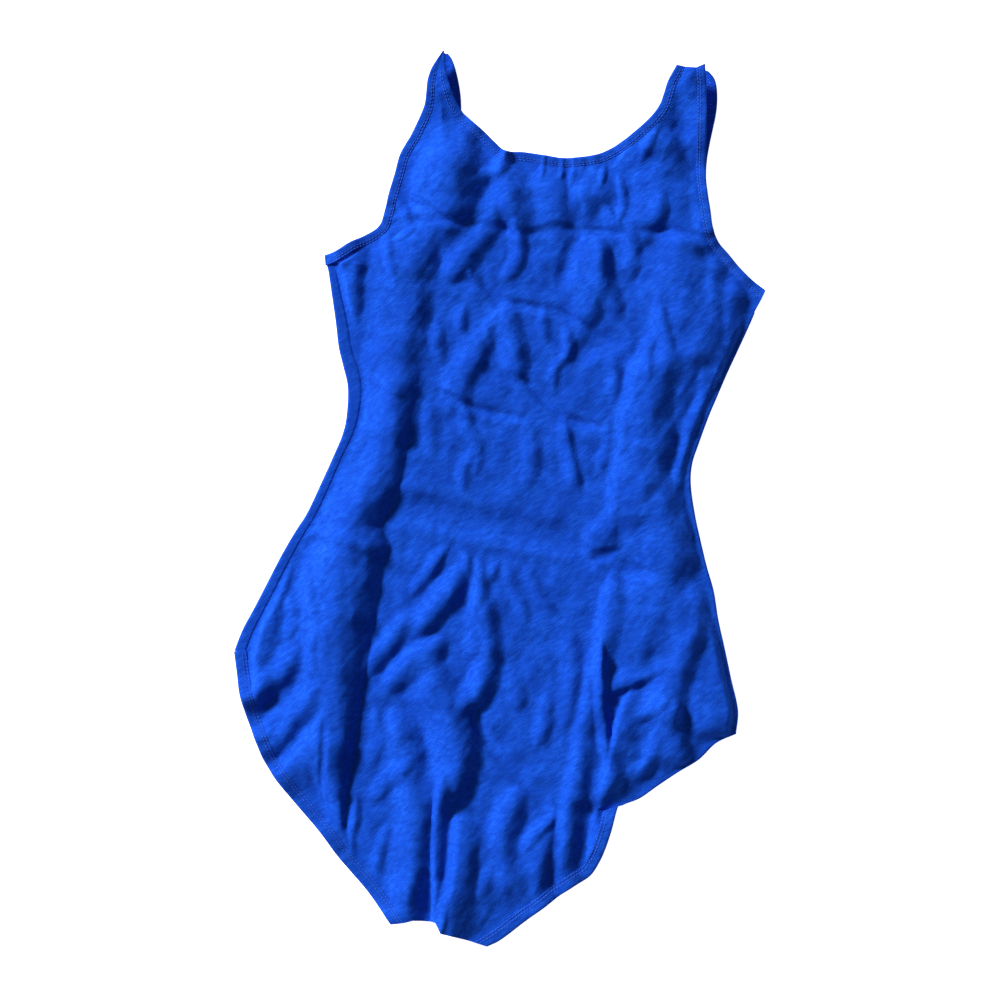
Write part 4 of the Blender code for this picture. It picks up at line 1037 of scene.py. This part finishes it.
scoop_start, scoop_end = 23 * FINE, 37 * FINE  # where the body meets both straps on the neck edge
low_rows = 23 * FINE  # the side below the scoop
STRAP_COLS = 3 * FINE
HIP_APART = 0.45  # a wider gap than at the side, because the fold at the hip runs aslant
back_seam = np.stack([back_side[:, 0] + TURN, back_side[:, 1]], 1)
beyond = np.stack([back_side[:, 3] - UNDER_WRAP - APART, back_side[:, 4]], 1)
beyond[-1] = back_right_edge[0]
beyond = straightened(beyond, len(beyond) - 1 - FINE, len(beyond) - 1)
under_fold = back_hips[HEM_ROWS * FINE:, 2:4] - (UNDER_WRAP + HIP_APART, 0.0)
back_left = np.vstack([
    back_left_leg + back_left_leg_in * (LEG_HEM + TUCK), back_seam[:low_rows + 1]])
back_right = np.vstack([
    back_right_leg + back_right_leg_in * (LEG_HEM + TUCK), under_fold[1:], beyond[:low_rows + 1]])
back_right = straightened(back_right, HEM_ROWS * FINE, (HEM_ROWS + 1) * FINE)
back_row = np.vstack([
    between(back_left[-1], back_neck_edge[scoop_start], STRAP_COLS),
    back_neck_edge[scoop_start + 1:scoop_end],
    between(back_neck_edge[scoop_end], back_right[-1], STRAP_COLS)])
back_body = panel_grid(back_left, back_right, back_row, bend=14 * FINE,
                       crotch=np.array(BACK_CROTCH), ease_rows=3, guided=False)
back_cols = back_body.shape[1]


def lying(grid, height):
    """A flat grid at one height, given its third number."""
    return np.dstack([grid, np.full(grid.shape[:2], float(height))])


# Its two layers: the body, both straps, and the left side that rolls over. The roll's top
# leans up to the armhole's hem, partly within its bend, and its outer edge is rounded off.
LEAN = 2.5
LEAN_IN_BEND = 0.2
EDGE_DROP = 0.35
back_inner, back_outer = Cloth(), Cloth()
left_side = np.vstack([back_seam[low_rows:], back_left_edge[1:]])
right_side = np.vstack([beyond[low_rows:], back_right_edge[1:]])
left_scoop = level_with(left_side, back_neck_edge[scoop_start::-1])
right_scoop = level_with(right_side, back_neck_edge[scoop_end:])
seam_x = back_side[:, 0] + back_side[:, 2]
to_top = len(back_seam) - 1 - np.arange(len(back_seam))
lean = LEAN * ease(1 - to_top / (2 * FINE))
for layer, height, radius in ((back_inner, CLOTH, bend_radius), (back_outer, 0.0, bend_radius + CLOTH)):
    index = layer.add(lying(back_body, height))
    layer.cover(index)
    straps = []
    for near, far, cols in ((left_side, left_scoop, slice(0, STRAP_COLS + 1)),
                            (right_scoop, right_side, slice(back_cols - 1 - STRAP_COLS, back_cols))):
        grid = strap_grid(back_body[-1, cols], near, far)
        straps.append(np.vstack([index[-1:, cols], layer.add(lying(grid, height)[1:])]))
        layer.cover(straps[-1])
    holder = np.concatenate([index[len(back_left_leg):, 0], straps[0][1:len(back_side) - low_rows, 0]])
    x, y = back_seam.T
    rows = []
    for angle in np.linspace(0, math.pi, 7)[1:]:
        rows.append(np.stack([x - radius * math.sin(angle), y + lean * LEAN_IN_BEND * angle / math.pi,
                              np.full(len(x), roll_middle - radius * math.cos(angle))], 1))
    for share in (0.35, 0.7, 0.93, 1.0):
        drop = EDGE_DROP if share == 1.0 and layer is back_outer else 0.0
        leant = LEAN_IN_BEND + (1 - LEAN_IN_BEND) * share
        rows.append(np.stack([x + (seam_x - x) * share, y + lean * leant,
                              np.full(len(x), roll_middle + radius - drop)], 1))
    grid = layer.add(np.array(rows).transpose(1, 0, 2))
    layer.cover(np.hstack([grid[:, ::-1], holder[:, None]]))
back_cloth = closed_wall("back_cloth", back_outer, back_inner, {k: k for k in range(back_inner.count)})
# The back's knit is a slightly darker copy of the front's: painted shade on the back panel
shaded_back_knit = jersey("cotton_jersey_back_shaded", "#0B42BA", "#1A5ADC", "#0A34A0", 0.00015)
back_cloth.data.materials.append(shaded_back_knit)
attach(back_cloth, root)
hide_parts("back_panel")

# The back hems. They are turned and stitched as the front ones are, and lie flat.
back_neck_hem = hem_along(back_neck_line, back_neck_in, back_neck_width)
back_left_arm_hem = hem_along(back_left_arm, back_left_arm_in, back_left_width)
back_right_arm_hem = hem_along(back_right_arm, back_right_arm_in, back_right_width)
back_left_leg_hem = hem_along(back_left_leg, back_left_leg_in, LEG_HEM)
back_right_leg_hem = hem_along(back_right_leg, back_right_leg_in, LEG_HEM)
back_hems = [
    hem_band("back_neck_band", back_neck_hem, "back_neck_hem"),
    hem_band("back_left_arm_band", back_left_arm_hem, "back_armhole_hem_left"),
    hem_band("back_right_arm_band", back_right_arm_hem, "back_armhole_hem_right"),
    hem_band("back_left_leg_band", back_left_leg_hem, "back_leg_hem_left"),
    hem_band("back_right_leg_band", back_right_leg_hem, "back_leg_hem_right"),
]

# The stitches. Each hem is held by two rows of polyester thread, a little lighter than the
# cloth, which sink into it between their short straight stitches.
THREAD = 0.42
STITCH = 1.9
PITCH = 2.7
FIRST_STITCH = 1.5
LAST_STITCH = 1.0
Row = namedtuple("Row", "share up")
STITCH_ROWS = [Row(0.66, 0.99), Row(0.9, 0.9)]
Ring = namedtuple("Ring", "half rise")
STITCH_RINGS = [Ring(0.35, -0.18), Ring(1.0, 0.16), Ring(1.0, 0.16), Ring(0.35, -0.18)]
Corner = namedtuple("Corner", "across up")
STITCH_CORNERS = [Corner(-1, -0.3), Corner(0, 1), Corner(1, -0.3), Corner(0, -1.4)]
# A left strap's hems are too narrow to stitch near its top: so many of their points are left
NARROW_END = 18
BACK_NARROW_END = 5


def stitch_rows(name, hem, part=slice(None)):
    """Rows of short raised stitches along a part of a hem, as one mesh."""
    line, direction, width, low = (values[part] for values in hem)
    points, faces = [], []
    for share, up in STITCH_ROWS:
        path = np.column_stack([line + direction * width * share, low + up * HEM])
        run = np.concatenate([[0], np.cumsum(np.linalg.norm(np.diff(path, axis=0), axis=1))])
        for start in np.arange(FIRST_STITCH, run[-1] - STITCH - LAST_STITCH, PITCH):
            want = np.linspace(start, start + STITCH, 4)
            spot = np.stack([np.interp(want, run, path[:, k]) for k in range(3)], 1)
            ahead = spot[-1] - spot[0]
            ahead /= np.linalg.norm(ahead)
            across = np.array([-ahead[1], ahead[0], 0.0])
            base = len(points)
            for middle, ring in zip(spot, STITCH_RINGS):
                for corner in STITCH_CORNERS:
                    points.append(middle + across * corner.across * ring.half * THREAD / 2
                                  + (0, 0, ring.rise + corner.up * THREAD / 2))
            for k in range(3):
                for m in range(4):
                    a, b = base + 4 * k + m, base + 4 * k + (m + 1) % 4
                    faces.append((a, b, b + 4, a + 4))
            faces.append((base + 3, base + 2, base + 1, base))
            faces.append((base + 12, base + 13, base + 14, base + 15))
    piece = closed_piece(name, np.array(points), faces)
    piece.data.materials.append(thread)
    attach(piece, root)
    return piece


# Spun polyester sewing thread, slightly shinier than the jersey
thread, thread_tree, thread_shader = surface("polyester_thread", Roughness=0.6, Specular_IOR_Level=0.35)
place = node(thread_tree, "ShaderNodeTexCoord").outputs["Object"]
uneven = node(thread_tree, "ShaderNodeTexNoise", [("Vector", place)], Scale=300.0, Detail=2.0)
thread_colour = blend(thread_tree, uneven.outputs["Fac"], "#2E62D8", "#4C7EE8")
thread_tree.links.new(thread_colour, thread_shader.inputs["Base Color"])
stitches = [
    stitch_rows("front_neck_stitches", neck_hem, slice(NARROW_END, None)),
    stitch_rows("front_left_arm_stitches", left_arm_hem, slice(None, -NARROW_END)),
    stitch_rows("front_right_arm_stitches", right_arm_hem),
    stitch_rows("front_left_leg_stitches", left_leg_hem),
    stitch_rows("front_right_leg_stitches", right_leg_hem),
]
back_stitches = [
    stitch_rows("back_neck_stitches", back_neck_hem, slice(BACK_NARROW_END, None)),
    stitch_rows("back_right_arm_stitches", back_right_arm_hem),
]

# The table. A wide white board that glows softly, so that almost no shadow shows on it. It
# lies a hair below the cloth, so that no faces meet.
TABLE_HALF = 9.0
BELOW = 0.0003
corners = [(x * TABLE_HALF, y * TABLE_HALF, -BELOW) for x, y in ((-1, -1), (1, -1), (1, 1), (-1, 1))]
table_mesh = bpy.data.meshes.new("white_table")
table_mesh.from_pydata(corners, [], [(0, 1, 2, 3)])
table = bpy.data.objects.new("white_table", table_mesh)
scene.collection.objects.link(table)
white = surface(
    "matt_white_laminate", Base_Color=linear("#FBFBFB"), Roughness=0.9, Specular_IOR_Level=0.1,
    Emission_Color=linear("#FFFFFF"), Emission_Strength=1.0)[0]
table_mesh.materials.append(white)
